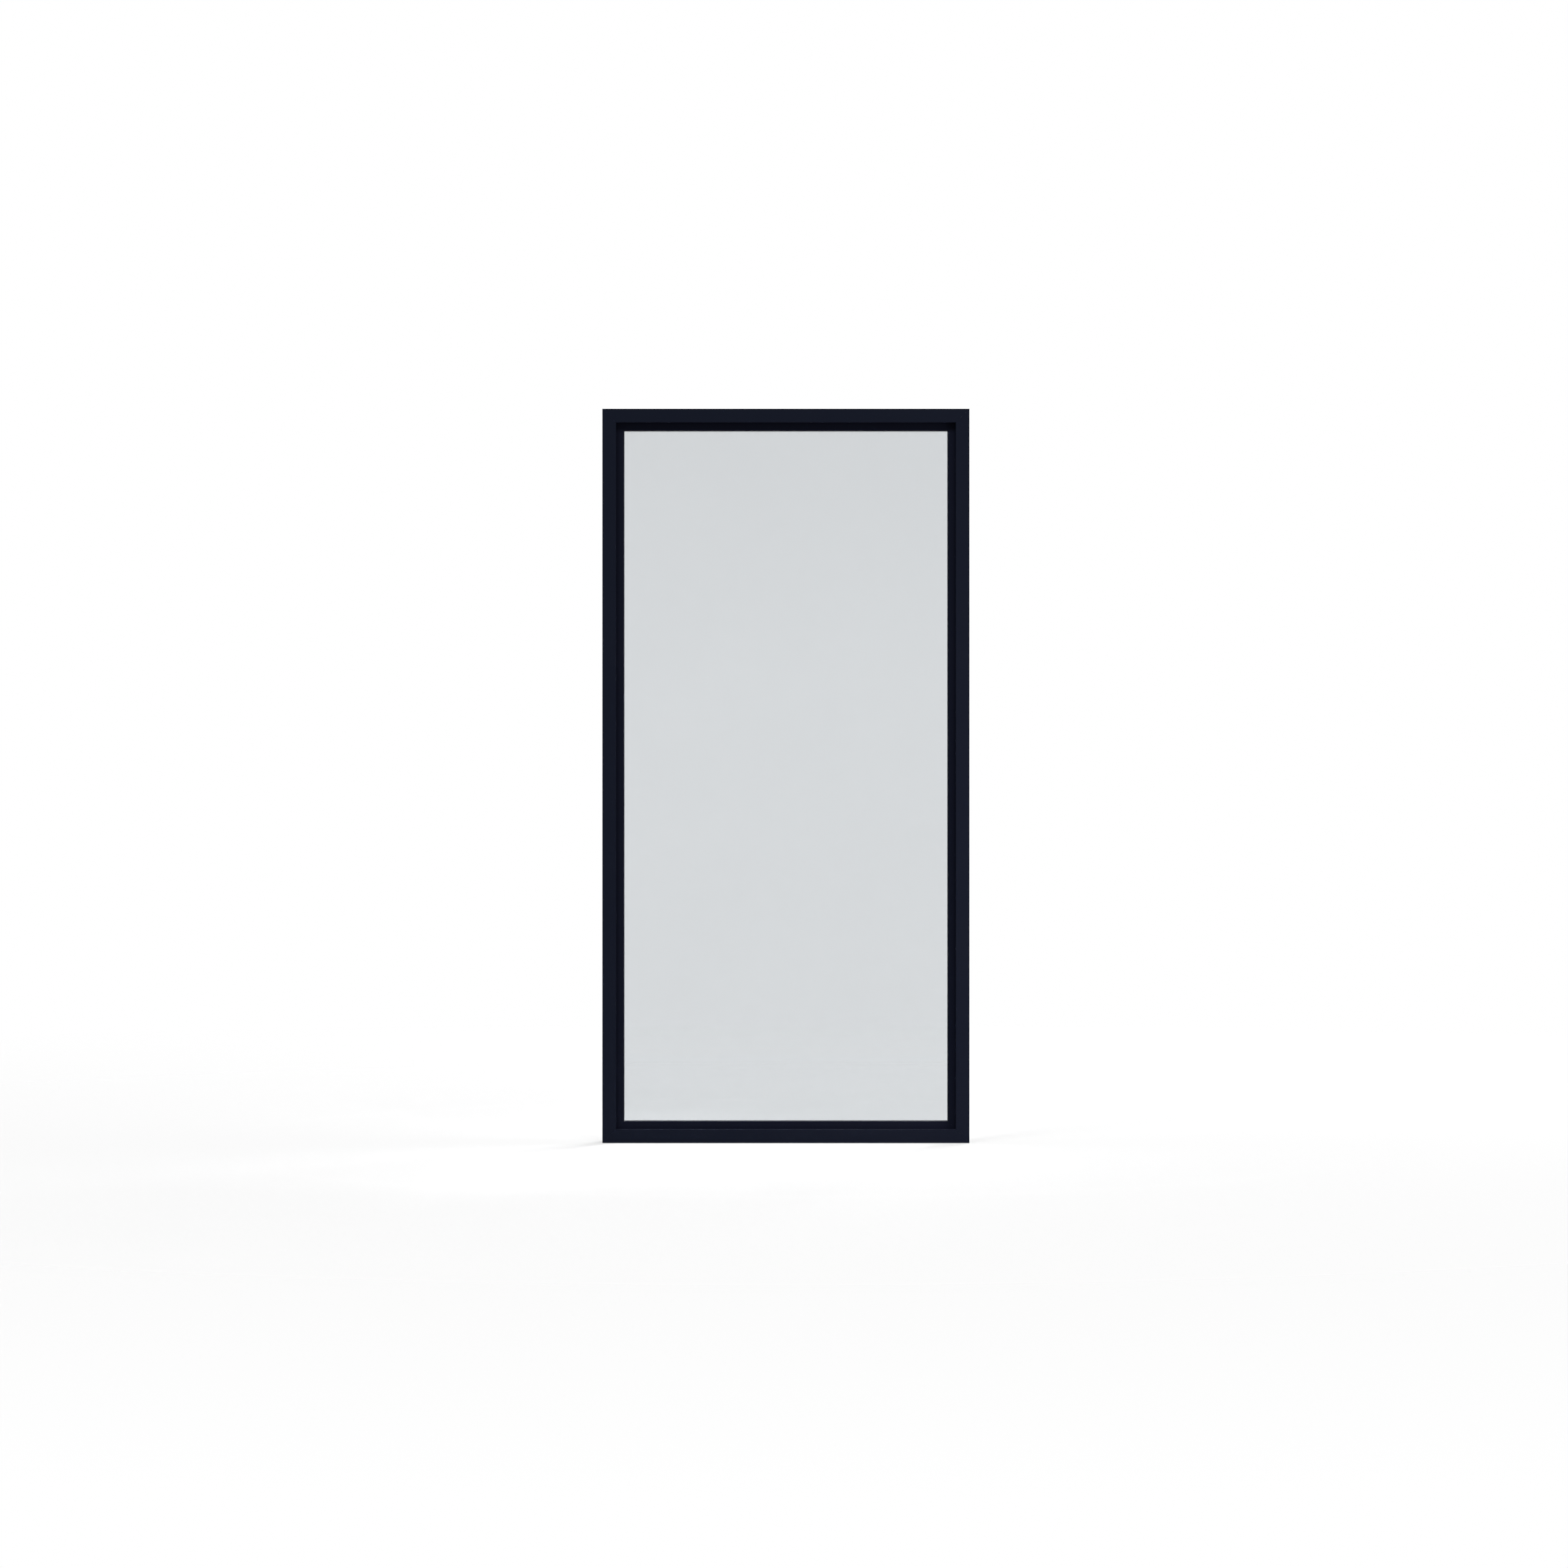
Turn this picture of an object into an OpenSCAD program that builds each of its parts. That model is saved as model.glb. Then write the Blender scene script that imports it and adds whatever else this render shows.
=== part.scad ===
// Aluminium fixed window with a thermally broken frame and a sealed double-glazed unit.
//
// Each side of the frame is a room-side and a weather-side extrusion, joined by two thermal strips
// that lock in dovetail pockets. The sides are mitred and held by corner cleats. The glass stands on
// setting blocks, between a fixed nib on the weather side and snap-in beads on the room side.
//
// The origin is the middle of the sill's underside. The room side faces -Y, and +Z is up.
// Sections are drawn as [depth from the room face, height above the frame's outer edge].

/* [Window] */
// Overall width of the frame
window_w = 1000; // [600:10:1500]
// Overall height of the frame
window_h = 2000; // [600:10:2400]
// Depth of the frame, from its room face to its weather face
frame_d = 75; // [72:1:88]

/* [Frame shells] */
// Width of the room face, from the outer edge to the glazing rebate
face_w = 37; // [32:1:60]
// Wall of the frame extrusions
wall_t = 1.8; // [1.4:0.1:2]
// Rounding of the long edges of the frame and beads
edge_r = 0.8; // [0.3:0.1:1.2]
// Depth of the room-side shell
room_shell_d = 39; // [38:0.5:42]
// Depth of the nib that holds the glass on the weather side
nib_d = 9; // [8:0.5:11]
// How far the nib's top lies below the beads' tops, so that it stays out of sight behind them
nib_drop = 2; // [1:0.5:3]

/* [Thermal strips] */
// Open gap between the two shells
break_gap = 19; // [14:1:22]
// Thickness of a strip
strip_t = 2; // [1.6:0.1:2.4]
// Width of the hollow rib along the middle of a strip
strip_rib_w = 7; // [5:0.5:9]
// Height of the strip's rib
strip_rib_h = 3.6; // [2.5:0.1:5]
// Width of a strip's dovetail foot
foot_w = 4.4; // [3.6:0.1:5.2]
// Depth of a strip's dovetail foot
foot_d = 2.5; // [2:0.1:3]
// Metal beside a strip's foot
pocket_lip = 2; // [1.6:0.1:2.6]

/* [Beads] */
// Height of the beads above the rebate floor
rebate_h = 21; // [20:0.5:26]
// How far the beads are set back from the frame's room face
bead_setback = 18; // [13:0.5:18.5]
// Wall of the beads
bead_wall_t = 1.5; // [1.2:0.1:1.6]
// Clear width inside a bead's clip
clip_w = 5.5; // [5.2:0.1:6]
// Width of the rail that a bead clips on
rail_w = 3.8; // [3.4:0.1:4.2]
// Thickness of the rail's stem and of its flange
rail_t = 1.3; // [1:0.1:1.4]
// Height of the clear space under the rail's flange
rail_neck_h = 2; // [1.8:0.1:2.6]
// How far a bead's barbs reach under the rail's flange
barb_bite = 0.5; // [0.3:0.1:0.6]

/* [Gaskets] */
// Thickness of a gasket between metal and glass
gasket_t = 4; // [3:0.5:5]
// How far a gasket shows beyond the bead and the nib
gasket_show = 1; // [1:0.5:3]
// Height of the groove that holds a gasket's root
groove_h = 5; // [4.4:0.1:6]
// Height of the groove's mouth
groove_mouth = 2.6; // [2.2:0.1:3]
// Thickness of the lips at the groove's mouth
groove_lip = 1.2; // [1:0.1:1.5]
// Length of the barbed root behind the lips
root_l = 2.4; // [1.6:0.1:3]

/* [Glass unit] */
// Thickness of each pane
pane_t = 6; // [4:1:7]
// Arris ground on the edges of the panes
arris = 0.6; // [0.3:0.1:1]
// Gas space between the panes
cavity_t = 12; // [10:1:14]
// Space between the glass edge and the rebate floor
edge_gap = 5; // [4:0.5:6]
// Depth of the edge seal behind the spacer bars
seal_h = 6; // [4:0.5:7]
// Height of the spacer bars
spacer_h = 7; // [6:0.5:8]
// Wall of the spacer bars
spacer_wall_t = 0.8; // [0.5:0.1:1]
// Slant of the spacer bars' back corners
spacer_slant = 2; // [1.5:0.1:2.5]

/* [Glazing blocks] */
// Length of each block
block_l = 100; // [60:5:120]
// Distance from the rebate corner to the near end of a block
block_inset = 55; // [40:5:80]
// How far a block stands out beyond each face of the glass unit
block_over = 3; // [2:0.5:4]

/* [Corner cleats] */
// Length of a cleat's leg from the frame's outer corner
cleat_leg = 92; // [80:1:110]
// Thickness of a cleat's walls and ribs
cleat_rib_t = 3.5; // [3:0.5:5]
// Clearance between a cleat and its chamber
cleat_clear = 0.15; // [0.1:0.05:0.3]

/* [Drainage] */
// Length of a drain slot
slot_l = 30; // [20:1:40]
// Height of a drain slot
slot_h = 5; // [4:0.5:6]
// Distance from the window's centre line to each drain slot
slot_x = 230; // [100:5:240]
// Height of the outer slots' middle above the sill's underside
slot_z = 7; // [6:0.5:9]
// Length of a drain cap
cap_l = 46; // [42:1:56]
// Height of a drain cap
cap_h = 14; // [12:0.5:16]
// How far a drain cap stands out
cap_d = 6.5; // [5:0.5:8]
// How far the cap stands out at its top
cap_top_d = 3; // [2.6:0.1:3.6]
// Height of the cap's upright front, as a share of its height
cap_brow = 0.45; // [0.3:0.05:0.6]
// How far the cap reaches below its slot
cap_skirt = 3.2; // [2.6:0.1:3.4]
// Wall of a drain cap
cap_wall_t = 1.2; // [1:0.1:1.5]
// Clearance between a cap's spigot and its slot
cap_clear = 0.2; // [0.1:0.05:0.3]

/* [Wall fixings] */
// Diameter of the holes for the frame screws
fixing_d = 7; // [5:0.5:7.5]
// Distance from the frame's corner to the nearest fixing
fixing_end = 160; // [130:5:200]
// Largest distance between two fixings
fixing_pitch = 700; // [400:10:800]

/* [Hidden] */
frame_black = [0.10, 0.11, 0.16];
bead_black = [0.09, 0.10, 0.14];
strip_black = [0.06, 0.06, 0.06];
rubber_black = [0.04, 0.04, 0.045];
glass_tint = [0.80, 0.84, 0.85, 0.35];
mill_grey = [0.72, 0.73, 0.75];
seal_grey = [0.16, 0.16, 0.17];
block_green = [0.20, 0.34, 0.27];

SIDES = ["sill", "head", "left", "right"];
CORNERS = ["bottom_left", "bottom_right", "top_left", "top_right"];

eps = 0.01;
cut = 1;
arc_steps = 5;

// Depths, counted from the room face
weather_shell_w = room_shell_d + break_gap;
room_back_w = room_shell_d - foot_d;
weather_back_w = weather_shell_w + foot_d;
nib_w = frame_d - nib_d;
weather_pane_w = nib_w - gasket_t - pane_t;
room_pane_w = weather_pane_w - cavity_t - pane_t;
bead_back_w = room_pane_w - gasket_t;
bead_d = bead_back_w - bead_setback;

// Heights, counted from the frame's outer edge
sight_h = face_w + rebate_h;
nib_top_h = sight_h - nib_drop;
glass_edge_h = face_w + edge_gap;
spacer_back_h = glass_edge_h + seal_h;
groove_mid_h = sight_h - bead_wall_t - groove_h / 2;
bracket_h = groove_h + 2 * bead_wall_t;
strip_off = foot_w / 2 + pocket_lip;

// The bead's clip, counted from the bead's room face
clip_mid = bead_wall_t + clip_w / 2;
leg_back = clip_w + 2 * bead_wall_t;

// A frame screw passes between the bead's clip and the back wall of the room-side chamber
fixing_w = (bead_setback + leg_back + room_back_w - wall_t) / 2;

function arc(centre, radius, from, to) = [
    for (i = [0 : arc_steps])
        let (a = from + (to - from) * i / arc_steps)
        centre + radius * [cos(a), sin(a)]
];

function side_length(side) = side == "sill" || side == "head" ? window_w : window_h;

function fixing_places(length) =
    let (span = length - 2 * fixing_end, gaps = ceil(span / fixing_pitch))
    [for (i = [0 : gaps]) -span / 2 + span * i / gaps];

// One side of the frame, from its section, with both ends mitred
module member(length) {
    reach = sight_h + gasket_show + cut;
    intersection() {
        translate([-length / 2 - cut, -frame_d / 2, 0])
            rotate([90, 0, 90])
                linear_extrude(length + 2 * cut)
                    children();
        translate([0, frame_d, 0])
            rotate([90, 0, 0])
                linear_extrude(2 * frame_d)
                    polygon([
                        [-length / 2 - cut, -cut],
                        [length / 2 + cut, -cut],
                        [length / 2 - reach, reach],
                        [-length / 2 + reach, reach]
                    ]);
    }
}

// Turns a piece drawn on the sill to its own side of the window
module on_side(side) {
    if (side == "sill")
        children();
    if (side == "head")
        translate([0, 0, window_h]) rotate([0, 180, 0]) children();
    if (side == "left")
        translate([-window_w / 2, 0, window_h / 2]) rotate([0, 90, 0]) children();
    if (side == "right")
        translate([window_w / 2, 0, window_h / 2]) rotate([0, -90, 0]) children();
}

// Box in section coordinates, from one corner to the other
module patch(low, high) {
    translate(low) square(high - low);
}

// Dovetail pockets for both strips, cut into a shell whose break side is at depth w
module strip_pockets(w, inward) {
    for (h = [strip_off, face_w - strip_off])
        polygon([
            [w - inward * cut, h - strip_t / 2],
            [w, h - strip_t / 2],
            [w + inward * foot_d, h - foot_w / 2],
            [w + inward * foot_d, h + foot_w / 2],
            [w, h + strip_t / 2],
            [w - inward * cut, h + strip_t / 2]
        ]);
}

// The recess between the two pockets, which leaves a lip of metal beside each foot
module break_recess(low, high) {
    inner = strip_off + foot_w / 2 + pocket_lip;
    patch([low, inner], [high, face_w - inner]);
}

// Groove for a gasket's root, cut into a bracket whose mouth is at depth w
module gasket_groove(w, inward, inner_l) {
    near = w + inward * groove_lip;
    far = w + inward * (groove_lip + inner_l);
    patch([min(near, far), groove_mid_h - groove_h / 2], [max(near, far), groove_mid_h + groove_h / 2]);
    patch(
        [min(w - inward * cut, near + inward * eps), groove_mid_h - groove_mouth / 2],
        [max(w - inward * cut, near + inward * eps), groove_mid_h + groove_mouth / 2]
    );
}

// T-shaped rail on the rebate floor that the beads clip on
module clip_rail() {
    mid = bead_setback + clip_mid;
    patch([mid - rail_t / 2, face_w - wall_t], [mid + rail_t / 2, face_w + rail_neck_h + rail_t]);
    patch(
        [mid - rail_w / 2, face_w + rail_neck_h],
        [mid + rail_w / 2, face_w + rail_neck_h + rail_t]
    );
}

module room_shell_section() {
    difference() {
        polygon(concat(
            [[room_shell_d, 0], [room_shell_d, face_w]],
            arc([edge_r, face_w - edge_r], edge_r, 90, 180),
            arc([edge_r, edge_r], edge_r, 180, 270)
        ));
        patch([wall_t, wall_t], [room_back_w - wall_t, face_w - wall_t]);
        break_recess(room_back_w, room_shell_d + cut);
        strip_pockets(room_shell_d, -1);
    }
    clip_rail();
}

module weather_shell_section() {
    difference() {
        polygon(concat(
            [[weather_shell_w, 0]],
            arc([frame_d - edge_r, edge_r], edge_r, 270, 360),
            arc([frame_d - edge_r, nib_top_h - edge_r], edge_r, 0, 90),
            [
                [nib_w, nib_top_h],
                [nib_w, nib_top_h - bracket_h],
                [frame_d - wall_t, nib_top_h - bracket_h],
                [frame_d - wall_t, face_w],
                [weather_shell_w, face_w]
            ]
        ));
        patch([weather_back_w + wall_t, wall_t], [frame_d - wall_t, face_w - wall_t]);
        break_recess(weather_shell_w - cut, weather_back_w);
        strip_pockets(weather_shell_w, 1);
        translate([0, -nib_drop]) gasket_groove(nib_w, 1, nib_d - groove_lip - wall_t);
    }
}

// A strip, with a dovetail foot in each shell and a hollow rib on the side of the frame's middle
module strip_section() {
    middle = (room_shell_d + weather_shell_w) / 2;
    low = middle - strip_rib_w / 2;
    high = middle + strip_rib_w / 2;
    difference() {
        polygon([
            [room_back_w, -foot_w / 2],
            [room_shell_d, -strip_t / 2],
            [weather_shell_w, -strip_t / 2],
            [weather_back_w, -foot_w / 2],
            [weather_back_w, foot_w / 2],
            [weather_shell_w, strip_t / 2],
            [high, strip_t / 2],
            [high, strip_t / 2 + strip_rib_h],
            [low, strip_t / 2 + strip_rib_h],
            [low, strip_t / 2],
            [room_shell_d, strip_t / 2],
            [room_back_w, foot_w / 2]
        ]);
        patch(
            [low + strip_t / 2, 0],
            [high - strip_t / 2, strip_t / 2 + strip_rib_h - strip_t / 2]
        );
    }
}

// The bead's clip, which leaves a barb on each side to catch under the rail's flange
module clip_hollow() {
    low = bead_setback + bead_wall_t;
    high = low + clip_w;
    reach = (clip_w - rail_w) / 2 + barb_bite;
    lead = face_w + rail_neck_h / 4;
    tip = face_w + rail_neck_h * 0.7;
    shelf = face_w + rail_neck_h;
    polygon([
        [low, face_w - cut],
        [high, face_w - cut],
        [high, lead],
        [high - reach, tip],
        [high - reach, shelf],
        [high, shelf],
        [high, sight_h - bead_wall_t],
        [low, sight_h - bead_wall_t],
        [low, shelf],
        [low + reach, shelf],
        [low + reach, tip],
        [low, lead]
    ]);
}

module bead_section() {
    front = bead_setback;
    difference() {
        polygon(concat(
            [
                [front, face_w],
                [front + leg_back, face_w],
                [front + leg_back, sight_h - bracket_h],
                [bead_back_w, sight_h - bracket_h],
                [bead_back_w, sight_h]
            ],
            arc([front + edge_r, sight_h - edge_r], edge_r, 90, 180)
        ));
        clip_hollow();
        gasket_groove(bead_back_w, -1, bead_d - leg_back - groove_lip);
    }
}

// Gasket on a groove's mouth at depth 0, with its round crown and its face towards the glass
module gasket_section() {
    top = sight_h + gasket_show;
    crown = gasket_t / 2;
    heel = groove_mid_h - groove_h / 2 - bead_wall_t / 2;
    barb_h = groove_h / 2 - 0.3;
    polygon([
        [0, heel],
        [gasket_t, heel + gasket_t / 3],
        [gasket_t, top - crown],
        [0, top - crown],
        [0, groove_mid_h + groove_mouth / 2],
        [-groove_lip, groove_mid_h + groove_mouth / 2],
        [-groove_lip, groove_mid_h + barb_h],
        [-groove_lip - root_l, groove_mid_h + groove_mouth / 4],
        [-groove_lip - root_l, groove_mid_h - groove_mouth / 4],
        [-groove_lip, groove_mid_h - barb_h],
        [-groove_lip, groove_mid_h - groove_mouth / 2],
        [0, groove_mid_h - groove_mouth / 2]
    ]);
    translate([crown, top - crown])
        circle(r = crown, $fn = 32);
}

// Outline of a spacer bar between the panes, drawn smaller by inset
module spacer_outline(inset) {
    low = weather_pane_w - cavity_t + inset;
    high = weather_pane_w - inset;
    back = spacer_back_h + inset;
    slant = spacer_slant - inset / 2;
    polygon([
        [low + slant, back],
        [high - slant, back],
        [high, back + slant],
        [high, spacer_back_h + spacer_h - inset],
        [low, spacer_back_h + spacer_h - inset],
        [low, back + slant]
    ]);
}

module spacer_section() {
    difference() {
        spacer_outline(0);
        spacer_outline(spacer_wall_t);
    }
}

module seal_section() {
    low = weather_pane_w - cavity_t;
    polygon([
        [low, glass_edge_h],
        [weather_pane_w, glass_edge_h],
        [weather_pane_w, spacer_back_h + spacer_slant],
        [weather_pane_w - spacer_slant, spacer_back_h],
        [low + spacer_slant, spacer_back_h],
        [low, spacer_back_h + spacer_slant]
    ]);
}

module fixing_holes(length) {
    for (x = fixing_places(length))
        translate([x, fixing_w - frame_d / 2, -cut])
            cylinder(h = face_w + 2 * cut, d = fixing_d, $fn = 48);
}

module room_frame(side) {
    color(frame_black)
        on_side(side)
            difference() {
                member(side_length(side)) room_shell_section();
                if (side != "sill")
                    fixing_holes(side_length(side));
            }
}

// Slot with round ends, in the plane of the section it is pressed through
module slot_outline(length, height) {
    square([length - height, height], center = true);
    for (x = [-1, 1])
        translate([x * (length - height) / 2, 0])
            circle(d = height, $fn = 48);
}

// Each drain runs from the rebate floor into the weather-side chamber, and out through its wall
module drain_cuts() {
    floor_mid = (weather_back_w + frame_d) / 2;
    for (x = [-slot_x, slot_x]) {
        translate([x, floor_mid - frame_d / 2, face_w - wall_t - cut])
            linear_extrude(wall_t + 2 * cut)
                slot_outline(slot_l, slot_h);
        translate([x, frame_d / 2 + cut, slot_z])
            rotate([90, 0, 0])
                linear_extrude(wall_t + 2 * cut)
                    slot_outline(slot_l, slot_h);
    }
}

module weather_frame(side) {
    color(frame_black)
        on_side(side)
            difference() {
                member(side_length(side)) weather_shell_section();
                if (side == "sill")
                    drain_cuts();
            }
}

module thermal_strips(side) {
    color(strip_black)
        on_side(side)
            member(side_length(side)) {
                translate([0, strip_off]) strip_section();
                translate([0, face_w - strip_off]) mirror([0, 1]) strip_section();
            }
}

module glazing_bead(side) {
    color(bead_black)
        on_side(side)
            member(side_length(side)) bead_section();
}

module room_gasket(side) {
    color(rubber_black)
        on_side(side)
            member(side_length(side))
                translate([bead_back_w, 0])
                    gasket_section();
}

module weather_gasket(side) {
    color(rubber_black)
        on_side(side)
            member(side_length(side))
                translate([nib_w, -nib_drop])
                    mirror([1, 0])
                        gasket_section();
}

module spacer_bar(side) {
    color(mill_grey)
        on_side(side)
            member(side_length(side)) spacer_section();
}

module edge_seal(side) {
    color(seal_grey)
        on_side(side)
            member(side_length(side)) seal_section();
}

// Edge-on outline of a pane of one length, with its ground arrises
module pane_outline(length) {
    polygon([
        [-length / 2, arris],
        [-length / 2 + arris, 0],
        [length / 2 - arris, 0],
        [length / 2, arris],
        [length / 2, pane_t - arris],
        [length / 2 - arris, pane_t],
        [-length / 2 + arris, pane_t],
        [-length / 2, pane_t - arris]
    ]);
}

module pane(w) {
    glass_w = window_w - 2 * glass_edge_h;
    glass_h = window_h - 2 * glass_edge_h;
    color(glass_tint)
        translate([0, w - frame_d / 2, window_h / 2])
            intersection() {
                translate([0, 0, -glass_h / 2])
                    linear_extrude(glass_h)
                        pane_outline(glass_w);
                translate([-glass_w / 2, 0, 0])
                    rotate([90, 0, 90])
                        linear_extrude(glass_w)
                            rotate(90)
                                mirror([0, 1])
                                    pane_outline(glass_h);
            }
}

// Two blocks between the glass edge and the rebate floor of one side
module blocks(side) {
    from = side_length(side) / 2 - face_w - block_inset - block_l;
    color(block_green)
        on_side(side)
            for (x = [from, -from - block_l])
                translate([x, room_pane_w - block_over - frame_d / 2, face_w])
                    cube([block_l, cavity_t + 2 * (pane_t + block_over), edge_gap]);
}

// Cleat in the plane of the window, from the outer corner at the origin, with its ribs between the pockets
module cleat_outline() {
    low = wall_t + cleat_clear;
    high = face_w - wall_t - cleat_clear;
    bay = (cleat_leg - high - 2 * cleat_rib_t) / 2;
    difference() {
        polygon([
            [low, low], [cleat_leg, low], [cleat_leg, high],
            [high, high], [high, cleat_leg], [low, cleat_leg]
        ]);
        for (k = [0, 1]) {
            start = high + k * (bay + cleat_rib_t);
            patch([start, low + cleat_rib_t], [start + bay, high - cleat_rib_t]);
            patch([low + cleat_rib_t, start], [high - cleat_rib_t, start + bay]);
        }
        polygon([
            [low + cleat_rib_t, low + 2.5 * cleat_rib_t],
            [low + cleat_rib_t, high - cleat_rib_t],
            [high - 2.5 * cleat_rib_t, high - cleat_rib_t]
        ]);
        polygon([
            [low + 2.5 * cleat_rib_t, low + cleat_rib_t],
            [high - cleat_rib_t, low + cleat_rib_t],
            [high - cleat_rib_t, high - 2.5 * cleat_rib_t]
        ]);
    }
}

// A cleat fills the depth of its chamber
module cleat(low_w, high_w) {
    translate([0, high_w - cleat_clear - frame_d / 2, 0])
        rotate([90, 0, 0])
            linear_extrude(high_w - low_w - 2 * cleat_clear)
                cleat_outline();
}

module corner_cleats(corner) {
    right = corner == "bottom_right" || corner == "top_right" ? 1 : 0;
    top = corner == "top_left" || corner == "top_right" ? 1 : 0;
    color(mill_grey)
        translate([0, 0, top * window_h])
            mirror([0, 0, top])
                mirror([right, 0, 0])
                    translate([-window_w / 2, 0, 0]) {
                        cleat(wall_t, room_back_w - wall_t);
                        cleat(weather_back_w + wall_t, frame_d - wall_t);
                    }
}

// Side profile of a drain cap's hood, as [distance from the weather face, height], or of its hollow
module hood_outline(hollow) {
    low = slot_z - slot_h / 2 - cap_skirt;
    brow = low + cap_h * cap_brow;
    top = low + cap_h;
    lean = (cap_d - cap_top_d) / (top - brow);
    thick = cap_wall_t * sqrt(1 + lean * lean);
    if (hollow)
        polygon([
            [cap_wall_t, low - cut],
            [cap_d - cap_wall_t, low - cut],
            [cap_d - cap_wall_t, brow - (thick - cap_wall_t) / lean],
            [cap_d - thick - lean * (top - cap_wall_t - brow), top - cap_wall_t],
            [cap_wall_t, top - cap_wall_t]
        ]);
    else
        polygon([[0, low], [cap_d, low], [cap_d, brow], [cap_top_d, top], [0, top]]);
}

// Hood over a drain slot, open below, with a hollow spigot that clips in the slot
module drain_cap(x) {
    spigot = [slot_l - 2 * cap_clear, slot_h - 2 * cap_clear];
    color(strip_black)
        translate([x, frame_d / 2, 0])
            difference() {
                union() {
                    translate([-cap_l / 2, 0, 0])
                        rotate([90, 0, 90])
                            linear_extrude(cap_l)
                                hood_outline(false);
                    translate([0, cap_wall_t / 2, slot_z])
                        rotate([90, 0, 0])
                            linear_extrude(wall_t + cap_wall_t / 2)
                                slot_outline(spigot[0], spigot[1]);
                }
                translate([cap_wall_t - cap_l / 2, 0, 0])
                    rotate([90, 0, 90])
                        linear_extrude(cap_l - 2 * cap_wall_t)
                            hood_outline(true);
                translate([0, cap_wall_t + cut, slot_z])
                    rotate([90, 0, 0])
                        linear_extrude(wall_t + cap_wall_t + 2 * cut)
                            slot_outline(spigot[0] - 2 * cap_wall_t, spigot[1] - cap_wall_t);
            }
}

for (s = SIDES) {
    room_frame(s);
    weather_frame(s);
    thermal_strips(s);
    glazing_bead(s);
    room_gasket(s);
    weather_gasket(s);
    spacer_bar(s);
    edge_seal(s);
}
pane(room_pane_w);  // room_pane
pane(weather_pane_w);  // weather_pane
blocks("sill");  // setting_blocks
union() {  // location_blocks
    blocks("head");
    blocks("left");
    blocks("right");
}
for (c = CORNERS)
    corner_cleats(c);
drain_cap(-slot_x);  // drain_cap_left
drain_cap(slot_x);  // drain_cap_right
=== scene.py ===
"""Aluminium fixed window: looks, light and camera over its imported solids.

Lengths are in metres. Sections are drawn as (depth, height) pairs in millimetres: depth is counted from
the room face of the frame towards the weather side, and height from the frame's outer edge inwards. A bar
is drawn as the sill lies, and then turned to its own side of the window.
"""

import logging
import math
from dataclasses import dataclass
from enum import Enum
from typing import Iterable, Sequence

import bmesh
import bpy
from mathutils import Matrix, Vector


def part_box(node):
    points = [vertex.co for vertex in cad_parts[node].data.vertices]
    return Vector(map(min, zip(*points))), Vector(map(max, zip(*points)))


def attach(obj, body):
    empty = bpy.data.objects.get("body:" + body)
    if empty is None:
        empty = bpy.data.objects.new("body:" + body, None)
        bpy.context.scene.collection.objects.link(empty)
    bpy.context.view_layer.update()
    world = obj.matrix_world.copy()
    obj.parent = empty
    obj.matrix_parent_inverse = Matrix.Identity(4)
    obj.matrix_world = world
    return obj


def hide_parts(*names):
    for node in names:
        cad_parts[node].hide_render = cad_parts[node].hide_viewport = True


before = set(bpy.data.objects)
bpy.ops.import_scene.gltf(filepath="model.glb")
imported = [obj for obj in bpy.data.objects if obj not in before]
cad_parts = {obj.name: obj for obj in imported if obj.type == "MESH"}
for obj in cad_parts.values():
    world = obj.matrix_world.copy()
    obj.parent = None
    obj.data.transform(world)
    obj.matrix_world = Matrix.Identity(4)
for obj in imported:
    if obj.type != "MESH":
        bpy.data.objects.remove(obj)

LOG = logging.getLogger("window")
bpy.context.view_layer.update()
MM = 0.001
WELD = 1e-6  # points that lie closer are one point, in metres
GASKET = 4.0  # thickness of a gasket between metal and glass, in millimetres

Colour = tuple[float, float, float, float]
Outline = list[tuple[float, float]]


# Sizes and places


class Side(Enum):
    """The four sides of the frame."""

    SILL = "sill"
    HEAD = "head"
    LEFT = "left"
    RIGHT = "right"


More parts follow.
